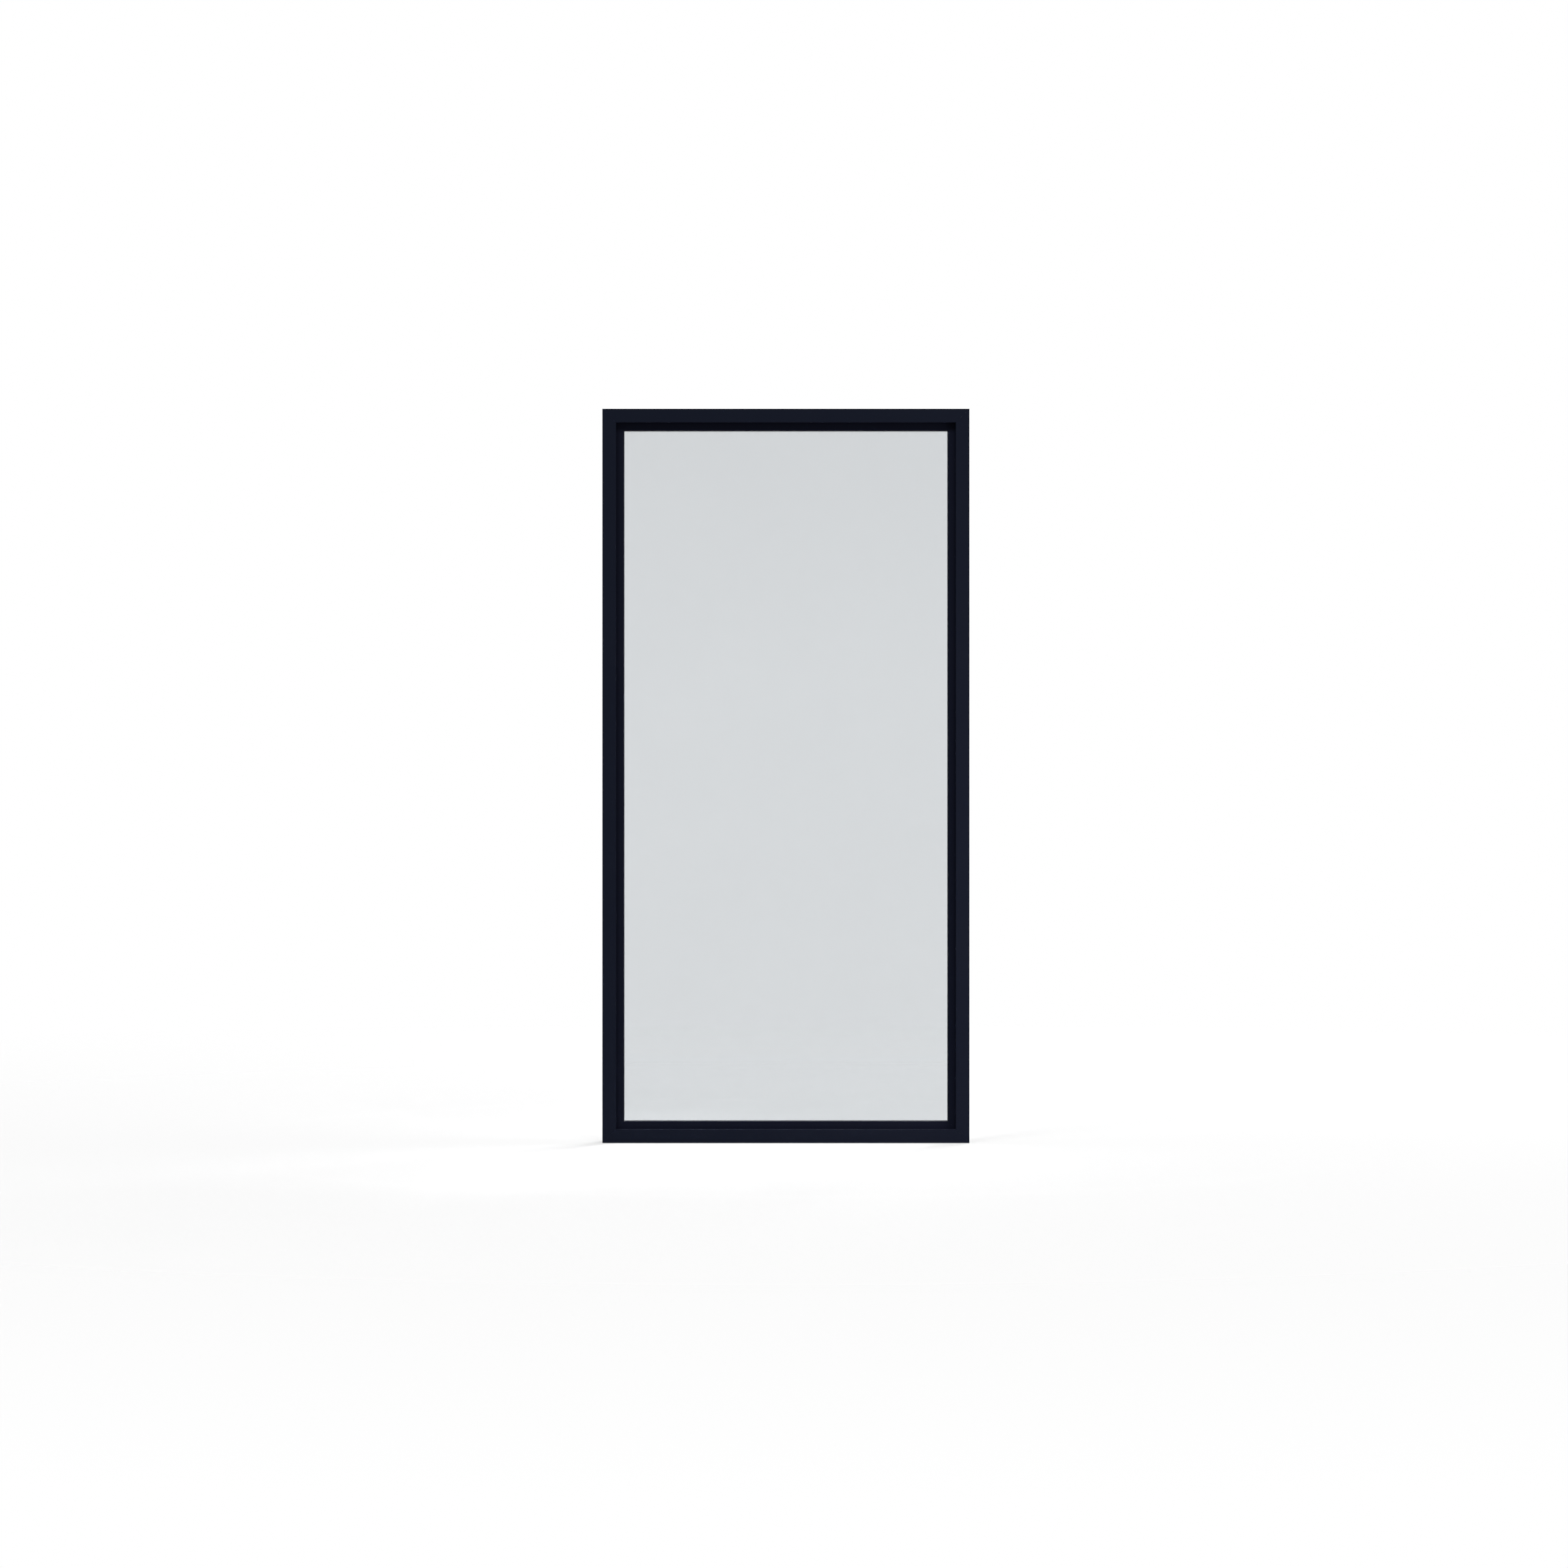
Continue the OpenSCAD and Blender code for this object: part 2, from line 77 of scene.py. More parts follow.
@dataclass(frozen=True)
class WindowSizes:
    """Overall sizes of the window, read from its solids, and the depths of its layers in millimetres.

    Attributes:
        width: overall width, in metres.
        height: overall height, in metres.
        room_y: row coordinate of the frame's room face, in metres.
        face: width of the frame's face.
        sight: height of the beads' top edge above the frame's outer edge.
        nib_top: height of the nib's top edge.
        crown: height of the room gasket's crown.
        bead_back: depth of the beads' glass side.
        nib: depth of the nib's glass side.
        pane: thickness of a pane.
        cavity: space between the panes.
        glass_edge: height of the glass edge.
    """

    width: float
    height: float
    room_y: float
    face: float
    sight: float
    nib_top: float
    crown: float
    bead_back: float
    nib: float
    pane: float
    cavity: float
    glass_edge: float

    @classmethod
    def from_solids(cls) -> "WindowSizes":
        """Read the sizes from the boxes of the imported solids."""
        sill_low, sill_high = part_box("room_frame_sill")
        jamb_low, jamb_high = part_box("room_frame_left")
        bead_low, bead_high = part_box("glazing_bead_sill")
        nib_low, nib_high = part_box("weather_frame_sill")
        crown_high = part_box("room_gasket_sill")[1]
        room_low, room_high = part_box("room_pane")
        weather_low, weather_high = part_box("weather_pane")
        room_y = sill_low.y
        return cls(
            width=sill_high.x - sill_low.x,
            height=jamb_high.z - jamb_low.z,
            room_y=room_y,
            face=bead_low.z / MM,
            sight=bead_high.z / MM,
            nib_top=nib_high.z / MM,
            crown=crown_high.z / MM,
            bead_back=(bead_high.y - room_y) / MM,
            nib=(weather_high.y - room_y) / MM + (room_low.y - bead_high.y) / MM,
            pane=(room_high.y - room_low.y) / MM,
            cavity=(weather_low.y - room_high.y) / MM,
            glass_edge=room_low.z / MM,
        )

    def length(self, side: Side) -> float:
        """Outer length of a side, in metres."""
        return self.width if side in (Side.SILL, Side.HEAD) else self.height

    def place(self, side: Side) -> Matrix:
        """Turn a bar from the sill's place to its own side.

        Args:
            side: the side that the bar belongs to.

        Returns:
            The matrix that takes a bar on the sill to that side.
        """
        turns = {
            Side.SILL: Matrix.Identity(4),
            Side.HEAD: Matrix.Translation((0, 0, self.height)) @ Matrix.Rotation(math.pi, 4, "Y"),
            Side.LEFT: Matrix.Translation((-self.width / 2, 0, self.height / 2))
            @ Matrix.Rotation(math.pi / 2, 4, "Y"),
            Side.RIGHT: Matrix.Translation((self.width / 2, 0, self.height / 2))
            @ Matrix.Rotation(-math.pi / 2, 4, "Y"),
        }
        return turns[side]


# Shader node groups


def group_socket(
    tree: bpy.types.NodeTree,
    name: str,
    kind: str,
    output: bool = False,
    value: float | None = None,
) -> bpy.types.NodeTreeInterfaceSocket:
    """Add a named socket to a node group.

    Args:
        tree: the group.
        name: the socket's name.
        kind: its socket type, without the NodeSocket prefix.
        output: whether the group puts it out.
        value: its default, where it has one.

    Returns:
        The new interface socket.
    """
    socket = tree.interface.new_socket(
        name=name, in_out="OUTPUT" if output else "INPUT", socket_type=f"NodeSocket{kind}"
    )
    if value is not None:
        socket.default_value = value
    return socket


@dataclass
class Wiring:
    """Short calls for adding and joining the nodes of one tree."""

    tree: bpy.types.NodeTree

    def add(self, kind: str, **settings: object) -> bpy.types.Node:
        """Add a node.

        Args:
            kind: the node's type.
            settings: attributes to set on it.

        Returns:
            The new node.
        """
        node = self.tree.nodes.new(kind)
        for name, value in settings.items():
            setattr(node, name, value)
        return node

    def join(self, source: bpy.types.NodeSocket, target: bpy.types.NodeSocket) -> None:
        """Link an output to an input."""
        self.tree.links.new(source, target)

    def feed(self, node: bpy.types.Node, values: dict[str | int, object]) -> bpy.types.Node:
        """Set or link a node's inputs.

        Args:
            node: the node.
            values: for each input's name or number, a value, or an output to link to it.

        Returns:
            The same node.
        """
        for key, value in values.items():
            if isinstance(value, bpy.types.NodeSocket):
                self.join(value, node.inputs[key])
            else:
                node.inputs[key].default_value = value
        return node

    def math(self, operation: str, first: object, second: object = 0.0) -> bpy.types.NodeSocket:
        """Add a Math node and return its output."""
        node = self.feed(self.add("ShaderNodeMath", operation=operation), {0: first, 1: second})
        return node.outputs[0]

    def noise(self, place: bpy.types.NodeSocket, scale: object, detail: float) -> bpy.types.NodeSocket:
        """Add a noise texture and return its value."""
        node = self.add("ShaderNodeTexNoise")
        self.feed(node, {"Vector": place, "Scale": scale, "Detail": detail, "Roughness": 0.55})
        return node.outputs["Fac"]

    def span(
        self, value: object, low: object, high: object, to_low: object, to_high: object
    ) -> bpy.types.NodeSocket:
        """Map a value from one range to another, held at both ends."""
        node = self.add("ShaderNodeMapRange")
        inputs = {"Value": value, "From Min": low, "From Max": high, "To Min": to_low, "To Max": to_high}
        return self.feed(node, inputs).outputs["Result"]


class NodeGroup:
    """A node group with named inputs and outputs, built once, on first use.

    Attributes:
        title: the group's name.
        system: the type of its tree.
        inputs: name, type and default of each input.
        outputs: name and type of each output.
    """

    title: str = ""
    system: str = "ShaderNodeTree"
    inputs: tuple[tuple[str, str, float | None], ...] = ()
    outputs: tuple[tuple[str, str], ...] = ()

    @classmethod
    def tree(cls) -> bpy.types.NodeTree:
        """The group's tree."""
        return bpy.data.node_groups.get(cls.title) or cls.build()

    @classmethod
    def build(cls) -> bpy.types.NodeTree:
        """Build the tree.

        Returns:
            The tree, with its sockets and nodes.
        """
        tree = bpy.data.node_groups.new(cls.title, cls.system)
        for name, kind, value in cls.inputs:
            group_socket(tree, name, kind, value=value)
        for name, kind in cls.outputs:
            group_socket(tree, name, kind, output=True)
        wiring = Wiring(tree)
        source = wiring.add("NodeGroupInput")
        wiring.feed(wiring.add("NodeGroupOutput"), cls.wire(wiring, source))
        return tree

    @classmethod
    def wire(cls, wiring: Wiring, source: bpy.types.Node) -> dict[str | int, object]:
        """Add the nodes between the inputs of source and the outputs, and return what feeds each output."""
        raise NotImplementedError


class FineTexture(NodeGroup):
    """Grain of a stoved powder coat or a moulding: a height, and a cloud that changes slowly."""

    title = "fine texture"
    inputs = (("Vector", "Vector", None), ("Grain", "Float", 1800.0), ("Cloud", "Float", 6.0))
    outputs = (("Height", "Float"), ("Cloud", "Float"))
    coarse_scale: float = 0.31
    fine_share: float = 0.65

    @classmethod
    def wire(cls, wiring: Wiring, source: bpy.types.Node) -> dict[str | int, object]:
        """Mix a fine and a coarse grain, and draw the cloud."""
        place, scale, cloud_scale = source.outputs[:3]
        fine = wiring.noise(place, scale, 3.0)
        coarse = wiring.noise(place, wiring.math("MULTIPLY", scale, cls.coarse_scale), 2.0)
        parts = [
            wiring.math("MULTIPLY", fine, cls.fine_share),
            wiring.math("MULTIPLY", coarse, 1.0 - cls.fine_share),
        ]
        cloud = wiring.noise(place, cloud_scale, 4.0)
        return {"Height": wiring.math("ADD", *parts), "Cloud": wiring.span(cloud, 0.3, 0.7, 0.0, 1.0)}


class SettledDust(NodeGroup):
    """Mask of the thin dust that lies on faces that look up."""

    title = "settled dust"
    inputs = (("Vector", "Vector", None), ("Amount", "Float", 0.2))
    outputs = (("Mask", "Float"),)

    @classmethod
    def wire(cls, wiring: Wiring, source: bpy.types.Node) -> dict[str | int, object]:
        """Mask the faces that look up, with patches."""
        place, amount = source.outputs[:2]
        normal = wiring.add("ShaderNodeNewGeometry").outputs["Normal"]
        split = wiring.feed(wiring.add("ShaderNodeSeparateXYZ"), {0: normal})
        up = wiring.span(split.outputs["Z"], 0.55, 0.98, 0.0, 1.0)
        patches = wiring.span(wiring.noise(place, 140.0, 5.0), 0.4, 0.7, 0.4, 1.0)
        return {"Mask": wiring.math("MULTIPLY", wiring.math("MULTIPLY", up, patches), amount)}


class DrawnLines(NodeGroup):
    """Fine lines that a die leaves along an extrusion, whichever way the bar runs."""

    title = "drawn lines"
    inputs = (("Vector", "Vector", None), ("Across", "Vector", None), ("Scale", "Float", 900.0))
    outputs = (("Height", "Float"),)

    @classmethod
    def wire(cls, wiring: Wiring, source: bpy.types.Node) -> dict[str | int, object]:
        """Draw noise that is packed across the lines."""
        place, across, scale = source.outputs[:3]
        stretched = wiring.add("ShaderNodeVectorMath", operation="MULTIPLY")
        wiring.feed(stretched, {0: place, 1: across})
        return {"Height": wiring.noise(stretched.outputs["Vector"], scale, 2.0)}


# Finishes


class Finish:
    """A surface finish, built as one procedural material."""

    def build(self) -> bpy.types.Material:
        """Make the material."""
        raise NotImplementedError

    def start(self, name: str, **values: object) -> tuple[bpy.types.Material, Wiring, bpy.types.Node]:
        """Make a material that holds one Principled shader.

        Args:
            name: the material's name.
            values: the shader's inputs, with spaces in their names written as underscores.

        Returns:
            The material, the wiring of its tree and its shader node.
        """
        material = bpy.data.materials.new(name)
        material.use_nodes = True
        shader = material.node_tree.nodes["Principled BSDF"]
        for key, value in values.items():
            shader.inputs[key.replace("_", " ")].default_value = value
        return material, Wiring(material.node_tree), shader

    def place_of(self, wiring: Wiring) -> bpy.types.NodeSocket:
        """Object coordinates."""
        return wiring.add("ShaderNodeTexCoord").outputs["Object"]

    def effect(
        self, wiring: Wiring, tree: bpy.types.NodeTree, values: dict[str | int, object]
    ) -> bpy.types.Node:
        """Place a shared effect in the material.

        Args:
            wiring: the material's wiring.
            tree: the effect's node group.
            values: the effect's inputs.

        Returns:
            The group node.
        """
        node = wiring.add("ShaderNodeGroup")
        node.node_tree = tree
        return wiring.feed(node, values)

    def blend(
        self, wiring: Wiring, factor: object, first: object, second: object
    ) -> bpy.types.NodeSocket:
        """Mix two colours and return the result."""
        node = wiring.add("ShaderNodeMix", data_type="RGBA")
        wiring.feed(node, {0: factor, 6: first, 7: second})
        return node.outputs[2]

    def bump(
        self, wiring: Wiring, shader: bpy.types.Node, height: bpy.types.NodeSocket, distance: float
    ) -> None:
        """Raise the surface by a height, at most distance metres."""
        node = wiring.add("ShaderNodeBump")
        wiring.feed(node, {"Strength": 1.0, "Distance": distance, "Height": height})
        wiring.join(node.outputs["Normal"], shader.inputs["Normal"])


@dataclass(frozen=True)
class GrainedFinish(Finish):
    """A coat, plastic or rubber with a fine grain, and some dust on faces that look up.

    Attributes:
        title: the material's name.
        colour: its colour.
        worn: its colour where it is thin, has bloomed or is rubbed.
        roughness: its mean roughness.
        specular: its specular level.
        grain: scale of its grain.
        depth: height of the grain, in metres.
        dust: strength of the dust.
        cloud: scale of its slow changes.
        dust_colour: colour of the dust.
        roughness_swing: how far the roughness strays from its mean.
    """

    title: str
    colour: Colour
    worn: Colour
    roughness: float
    specular: float
    grain: float
    depth: float
    dust: float
    cloud: float
    dust_colour: Colour
    roughness_swing: float = 0.06

    def build(self) -> bpy.types.Material:
        """Make the material."""
        material, wiring, shader = self.start(self.title, Specular_IOR_Level=self.specular)
        place = self.place_of(wiring)
        grain = {"Vector": place, "Grain": self.grain, "Cloud": self.cloud}
        texture = self.effect(wiring, FineTexture.tree(), grain).outputs
        dust = self.effect(wiring, SettledDust.tree(), {"Vector": place, "Amount": self.dust}).outputs
        body = self.blend(wiring, texture["Cloud"], self.colour, self.worn)
        dusty = self.blend(wiring, dust["Mask"], body, self.dust_colour)
        low, high = self.roughness - self.roughness_swing, self.roughness + self.roughness_swing
        rough = wiring.span(texture["Cloud"], 0.0, 1.0, low, high)
        wiring.feed(shader, {"Base Color": dusty, "Roughness": rough})
        self.bump(wiring, shader, texture["Height"], self.depth)
        return material


@dataclass(frozen=True)
class PowderCoat(GrainedFinish):
    """Stoved fine-texture powder coat on aluminium."""

    roughness: float = 0.52
    specular: float = 0.03
    grain: float = 1500.0
    depth: float = 0.00006
    dust: float = 0.012
    cloud: float = 5.0
    dust_colour: Colour = (0.16, 0.155, 0.15, 1.0)


@dataclass(frozen=True)
class MouldedPlastic(GrainedFinish):
    """Moulded or extruded plastic or rubber with a fine grain."""

    cloud: float = 22.0
    dust_colour: Colour = (0.17, 0.165, 0.155, 1.0)


@dataclass(frozen=True)
class DrawnMetal(Finish):
    """Bare aluminium with the fine lines of its die.

    Attributes:
        title: the material's name.
        colour: colour of the metal.
        tarnish: colour where it has dulled.
        roughness: its mean roughness.
        across: how much the lines are packed along X, Y and Z.
    """

    title: str
    colour: Colour
    tarnish: Colour
    roughness: float
    across: tuple[float, float, float]

    def build(self) -> bpy.types.Material:
        """Make the material."""
        material, wiring, shader = self.start(self.title, Metallic=1.0)
        place = self.place_of(wiring)
        grain = {"Vector": place, "Grain": 900.0, "Cloud": 30.0}
        texture = self.effect(wiring, FineTexture.tree(), grain)
        drawn = {"Vector": place, "Across": self.across, "Scale": 700.0}
        lines = self.effect(wiring, DrawnLines.tree(), drawn)
        metal = self.blend(wiring, texture.outputs["Cloud"], self.colour, self.tarnish)
        wiring.join(metal, shader.inputs["Base Color"])
        rough = wiring.span(
            lines.outputs["Height"], 0.2, 0.8, self.roughness - 0.08, self.roughness + 0.1
        )
        wiring.join(rough, shader.inputs["Roughness"])
        self.bump(wiring, shader, lines.outputs["Height"], 0.00004)
        return material


@dataclass(frozen=True)
class FloatGlass(Finish):
    """Clear float glass with smears, darkened towards its top as painted shade.

    Attributes:
        title: the material's name.
        colour: colour that a pane passes.
        top_shaded_colour: colour that it passes at its top, darkened as painted shade.
        low: height where the painted shade starts, in metres.
        high: height where the painted shade is darkest.
    """

    title: str
    colour: Colour
    top_shaded_colour: Colour
    low: float = 1.25
    high: float = 1.95

    def build(self) -> bpy.types.Material:
        """Make the material."""
        material, wiring, shader = self.start(
            self.title, Metallic=0.0, Transmission_Weight=1.0, IOR=1.52, Specular_IOR_Level=0.5
        )
        place = self.place_of(wiring)
        smears = wiring.noise(place, 3.2, 6.0)
        split = wiring.add("ShaderNodeSeparateXYZ")
        wiring.join(place, split.inputs[0])
        # Painted shade: the pane darkens towards its top, and the smears add random tone.
        height = wiring.span(split.outputs["Z"], self.low, self.high, 0.0, 0.8)
        share = wiring.math("ADD", height, wiring.span(smears, 0.35, 0.7, 0.0, 0.2))
        wiring.join(self.blend(wiring, share, self.colour, self.top_shaded_colour), shader.inputs["Base Color"])
        wiring.join(wiring.span(smears, 0.55, 0.8, 0.0, 0.025), shader.inputs["Roughness"])
        return material


@dataclass(frozen=True)
class StudioFloor(Finish):
    """Pale floor that looks white, keeps a soft shadow, and fades out far from the object.

    Attributes:
        title: the material's name.
        diffuse: the share of its white that comes from the lamps.
        glow: the share that is always seen.
        near: distance from the object at which it starts to fade, in metres.
        far: distance at which it has faded out.
    """

    title: str
    diffuse: float
    glow: float
    near: float
    far: float

    def build(self) -> bpy.types.Material:
        """Make the material."""
        material = bpy.data.materials.new(self.title)
        material.use_nodes = True
        material.node_tree.nodes.clear()
        wiring = Wiring(material.node_tree)
        path = wiring.add("ShaderNodeLightPath")
        seen = wiring.math("MAXIMUM", path.outputs["Is Camera Ray"], path.outputs["Is Transmission Ray"])
        seen = wiring.math("MAXIMUM", seen, path.outputs["Is Glossy Ray"])
        white = (self.diffuse, self.diffuse, self.diffuse, 1.0)
        diffuse = wiring.feed(wiring.add("ShaderNodeBsdfDiffuse"), {"Color": white})
        emission = wiring.feed(
            wiring.add("ShaderNodeEmission"), {"Strength": wiring.math("MULTIPLY", seen, self.glow)}
        )
        lit = wiring.feed(
            wiring.add("ShaderNodeAddShader"), {0: diffuse.outputs[0], 1: emission.outputs[0]}
        )
        away = wiring.add("ShaderNodeVectorMath", operation="LENGTH")
        wiring.join(wiring.add("ShaderNodeTexCoord").outputs["Object"], away.inputs[0])
        fade = wiring.span(away.outputs["Value"], self.near, self.far, 0.0, 1.0)
        below = wiring.add("ShaderNodeNewGeometry").outputs["Backfacing"]
        clear = wiring.add("ShaderNodeBsdfTransparent").outputs[0]
        shown = wiring.feed(
            wiring.add("ShaderNodeMixShader"),
            {0: wiring.math("MAXIMUM", fade, below), 1: lit.outputs[0], 2: clear},
        )
        wiring.join(shown.outputs[0], wiring.add("ShaderNodeOutputMaterial").inputs["Surface"])
        return material


class Finishes:
    """Every finish of the window, each made once."""

    def __init__(self) -> None:
        """Build the materials."""
        self.frame = PowderCoat(
            "frame_coat", (0.0049, 0.0067, 0.0136, 1), (0.0056, 0.0075, 0.0145, 1)
        ).build()
        # The bead coat is the frame coat darkened: painted shade of the beads set back behind the frame's
        # face.
        self.bead = PowderCoat(
            "bead_coat_painted_shade", (0.0038, 0.0049, 0.0113, 1), (0.0044, 0.0055, 0.0121, 1)
        ).build()
        self.rubber = MouldedPlastic(
            "gasket_rubber", (0.006, 0.006, 0.0065, 1), (0.009, 0.009, 0.0095, 1),
            0.6, 0.06, 2200, 0.00003, 0.05,
        ).build()
        self.strip = MouldedPlastic(
            "strip_polyamide", (0.008, 0.008, 0.0085, 1), (0.011, 0.011, 0.0115, 1),
            0.55, 0.08, 1400, 0.00004, 0.04,
        ).build()
        self.cap = MouldedPlastic(
            "cap_plastic", (0.007, 0.0075, 0.010, 1), (0.010, 0.0105, 0.013, 1),
            0.42, 0.1, 1600, 0.00003, 0.1,
        ).build()
        self.seal = MouldedPlastic(
            "edge_sealant", (0.02, 0.02, 0.021, 1), (0.032, 0.032, 0.033, 1), 0.5, 0.3, 500, 0.0001, 0.0
        ).build()
        self.butyl = MouldedPlastic(
            "butyl", (0.004, 0.004, 0.004, 1), (0.007, 0.007, 0.007, 1), 0.35, 0.4, 900, 0.00005, 0.0
        ).build()
        self.block = MouldedPlastic(
            "block_plastic", (0.03, 0.1, 0.055, 1), (0.04, 0.12, 0.07, 1), 0.5, 0.4, 1200, 0.00005, 0.0
        ).build()
        # The vent holes' plugs are near-black: painted shade of the holes' insides.
        self.hole = MouldedPlastic(
            "vent_hole_painted_shade", (0.01, 0.01, 0.01, 1), (0.015, 0.015, 0.015, 1), 0.8, 0.1, 900, 0.00002, 0.0
        ).build()
        self.spacer = DrawnMetal(
            "spacer_metal", (0.56, 0.57, 0.58, 1), (0.48, 0.49, 0.50, 1), 0.34, (1.0, 1.0, 1.0)
        ).build()
        self.mill = DrawnMetal(
            "mill_aluminium", (0.62, 0.63, 0.65, 1), (0.52, 0.53, 0.55, 1), 0.38, (0.08, 1.0, 0.08)
        ).build()
        # The glass's second colour darkens its upper part as painted shade.
        self.glass = FloatGlass("float_glass", (0.809, 0.824, 0.835, 1), (0.786, 0.8, 0.811, 1)).build()


# Geometry Nodes


class ShapeTree(NodeGroup):
    """A Geometry Nodes tree. It ends in plain geometry with its finish set."""

    system = "GeometryNodeTree"

    @classmethod
    def wire(cls, wiring: Wiring, source: bpy.types.Node) -> dict[str | int, object]:
        """Draw the shape, make its instances real and set its material."""
        real = wiring.feed(wiring.add("GeometryNodeRealizeInstances"), {0: cls.shape(wiring, source.outputs)})
        dressed = wiring.add("GeometryNodeSetMaterial")
        wiring.feed(dressed, {"Geometry": real.outputs[0], "Material": source.outputs["Finish"]})
        return {0: dressed.outputs[0]}

    @classmethod
    def shape(cls, wiring: Wiring, given: bpy.types.bpy_prop_collection) -> bpy.types.NodeSocket:
        """Draw the shape from the tree's inputs, and return it."""
        raise NotImplementedError

    @classmethod
    def point(cls, wiring: Wiring, x: object, y: object = 0.0, z: object = 0.0) -> bpy.types.NodeSocket:
        """Make a vector of three values."""
        return wiring.feed(wiring.add("ShaderNodeCombineXYZ"), {"X": x, "Y": y, "Z": z}).outputs[0]


class BarTree(ShapeTree):
    """A bar pushed through a section, with both ends mitred at 45 degrees.

    The section lies in the XY plane as (depth, height). The bar runs along X, with depth along Y and
    height along Z, and is as long at height 0 as the side of the frame.
    """

    title = "mitred bar"
    inputs = (
        ("Section", "Geometry", None),
        ("Length", "Float", 1.0),
        ("End Gap", "Float", 0.0),
        ("Finish", "Material", None),
    )
    outputs = (("Bar", "Geometry"),)

    @classmethod
    def shape(cls, wiring: Wiring, given: bpy.types.bpy_prop_collection) -> bpy.types.NodeSocket:
        """Push the section along Z, close it, and lay it along X with mitred ends."""
        outline = wiring.feed(wiring.add("GeometryNodeMeshToCurve"), {"Mesh": given["Section"]})
        face = wiring.add("GeometryNodeFillCurve", mode="NGONS")
        wiring.feed(face, {"Curve": outline.outputs["Curve"]})
        section = face.outputs["Mesh"]
        push = wiring.add("GeometryNodeExtrudeMesh", mode="FACES")
        way = {"Offset": (0.0, 0.0, 1.0), "Offset Scale": given["Length"], "Individual": False}
        wiring.feed(push, {"Mesh": section, **way})
        near = wiring.feed(wiring.add("GeometryNodeFlipFaces"), {"Mesh": section})
        both = wiring.add("GeometryNodeJoinGeometry")
        for part in (push, near):
            wiring.join(part.outputs["Mesh"], both.inputs[0])
        closed = wiring.add("GeometryNodeMergeByDistance")
        wiring.feed(closed, {"Geometry": both.outputs[0], "Distance": WELD})
        place = wiring.add("GeometryNodeInputPosition").outputs[0]
        here = wiring.feed(wiring.add("ShaderNodeSeparateXYZ"), {0: place}).outputs
        half = wiring.math("MULTIPLY", given["Length"], 0.5)
        share = wiring.math("DIVIDE", wiring.math("SUBTRACT", here["Z"], half), half)
        reach = wiring.math("SUBTRACT", half, wiring.math("ADD", here["Y"], given["End Gap"]))
        moved = cls.point(wiring, wiring.math("MULTIPLY", share, reach), here["X"], here["Y"])
        mitred = wiring.add("GeometryNodeSetPosition")
        return wiring.feed(mitred, {"Geometry": closed.outputs[0], "Position": moved}).outputs[0]


class PerforationTree(ShapeTree):
    """Rows of small closed plugs, dark as painted shade, which read as the vent holes along a spacer bar."""

    title = "vent holes"
    inputs = (
        ("Geometry", "Geometry", None),
        ("Span", "Float", 1.0),
        ("Pitch", "Float", 0.006),
        ("Row Gap", "Float", 0.005),
        ("Hole", "Float", 0.0004),
        ("Depth", "Float", 0.0),
        ("Height", "Float", 0.0),
        ("Finish", "Material", None),
    )
    outputs = (("Holes", "Geometry"),)
    corners: int = 6
    plug_height: float = 0.0002
    stretch: tuple[float, float, float] = (2.2, 1.0, 1.0)

    @classmethod
    def shape(cls, wiring: Wiring, given: bpy.types.bpy_prop_collection) -> bpy.types.NodeSocket:
        """Stand plugs along two rows."""
        count = wiring.math("FLOOR", wiring.math("DIVIDE", given["Span"], given["Pitch"]))
        run = wiring.math("MULTIPLY", wiring.math("SUBTRACT", count, 1.0), given["Pitch"])
        start = wiring.math("MULTIPLY", run, -0.5)
        plug = wiring.feed(
            wiring.add("GeometryNodeMeshCylinder", fill_type="NGON"),
            {"Vertices": cls.corners, "Radius": given["Hole"], "Depth": cls.plug_height},
        )
        joined = wiring.add("GeometryNodeJoinGeometry")
        for way in (-0.5, 0.5):
            depth = wiring.math("ADD", given["Depth"], wiring.math("MULTIPLY", given["Row Gap"], way))
            first = cls.point(wiring, start, depth, given["Height"])
            line = wiring.add("GeometryNodeMeshLine", mode="OFFSET")
            step = cls.point(wiring, given["Pitch"])
            wiring.feed(line, {"Count": count, "Start Location": first, "Offset": step})
            spread = wiring.add("GeometryNodeInstanceOnPoints")
            plugs = {"Points": line.outputs["Mesh"], "Instance": plug.outputs["Mesh"], "Scale": cls.stretch}
            wiring.join(wiring.feed(spread, plugs).outputs["Instances"], joined.inputs[0])
        return joined.outputs[0]


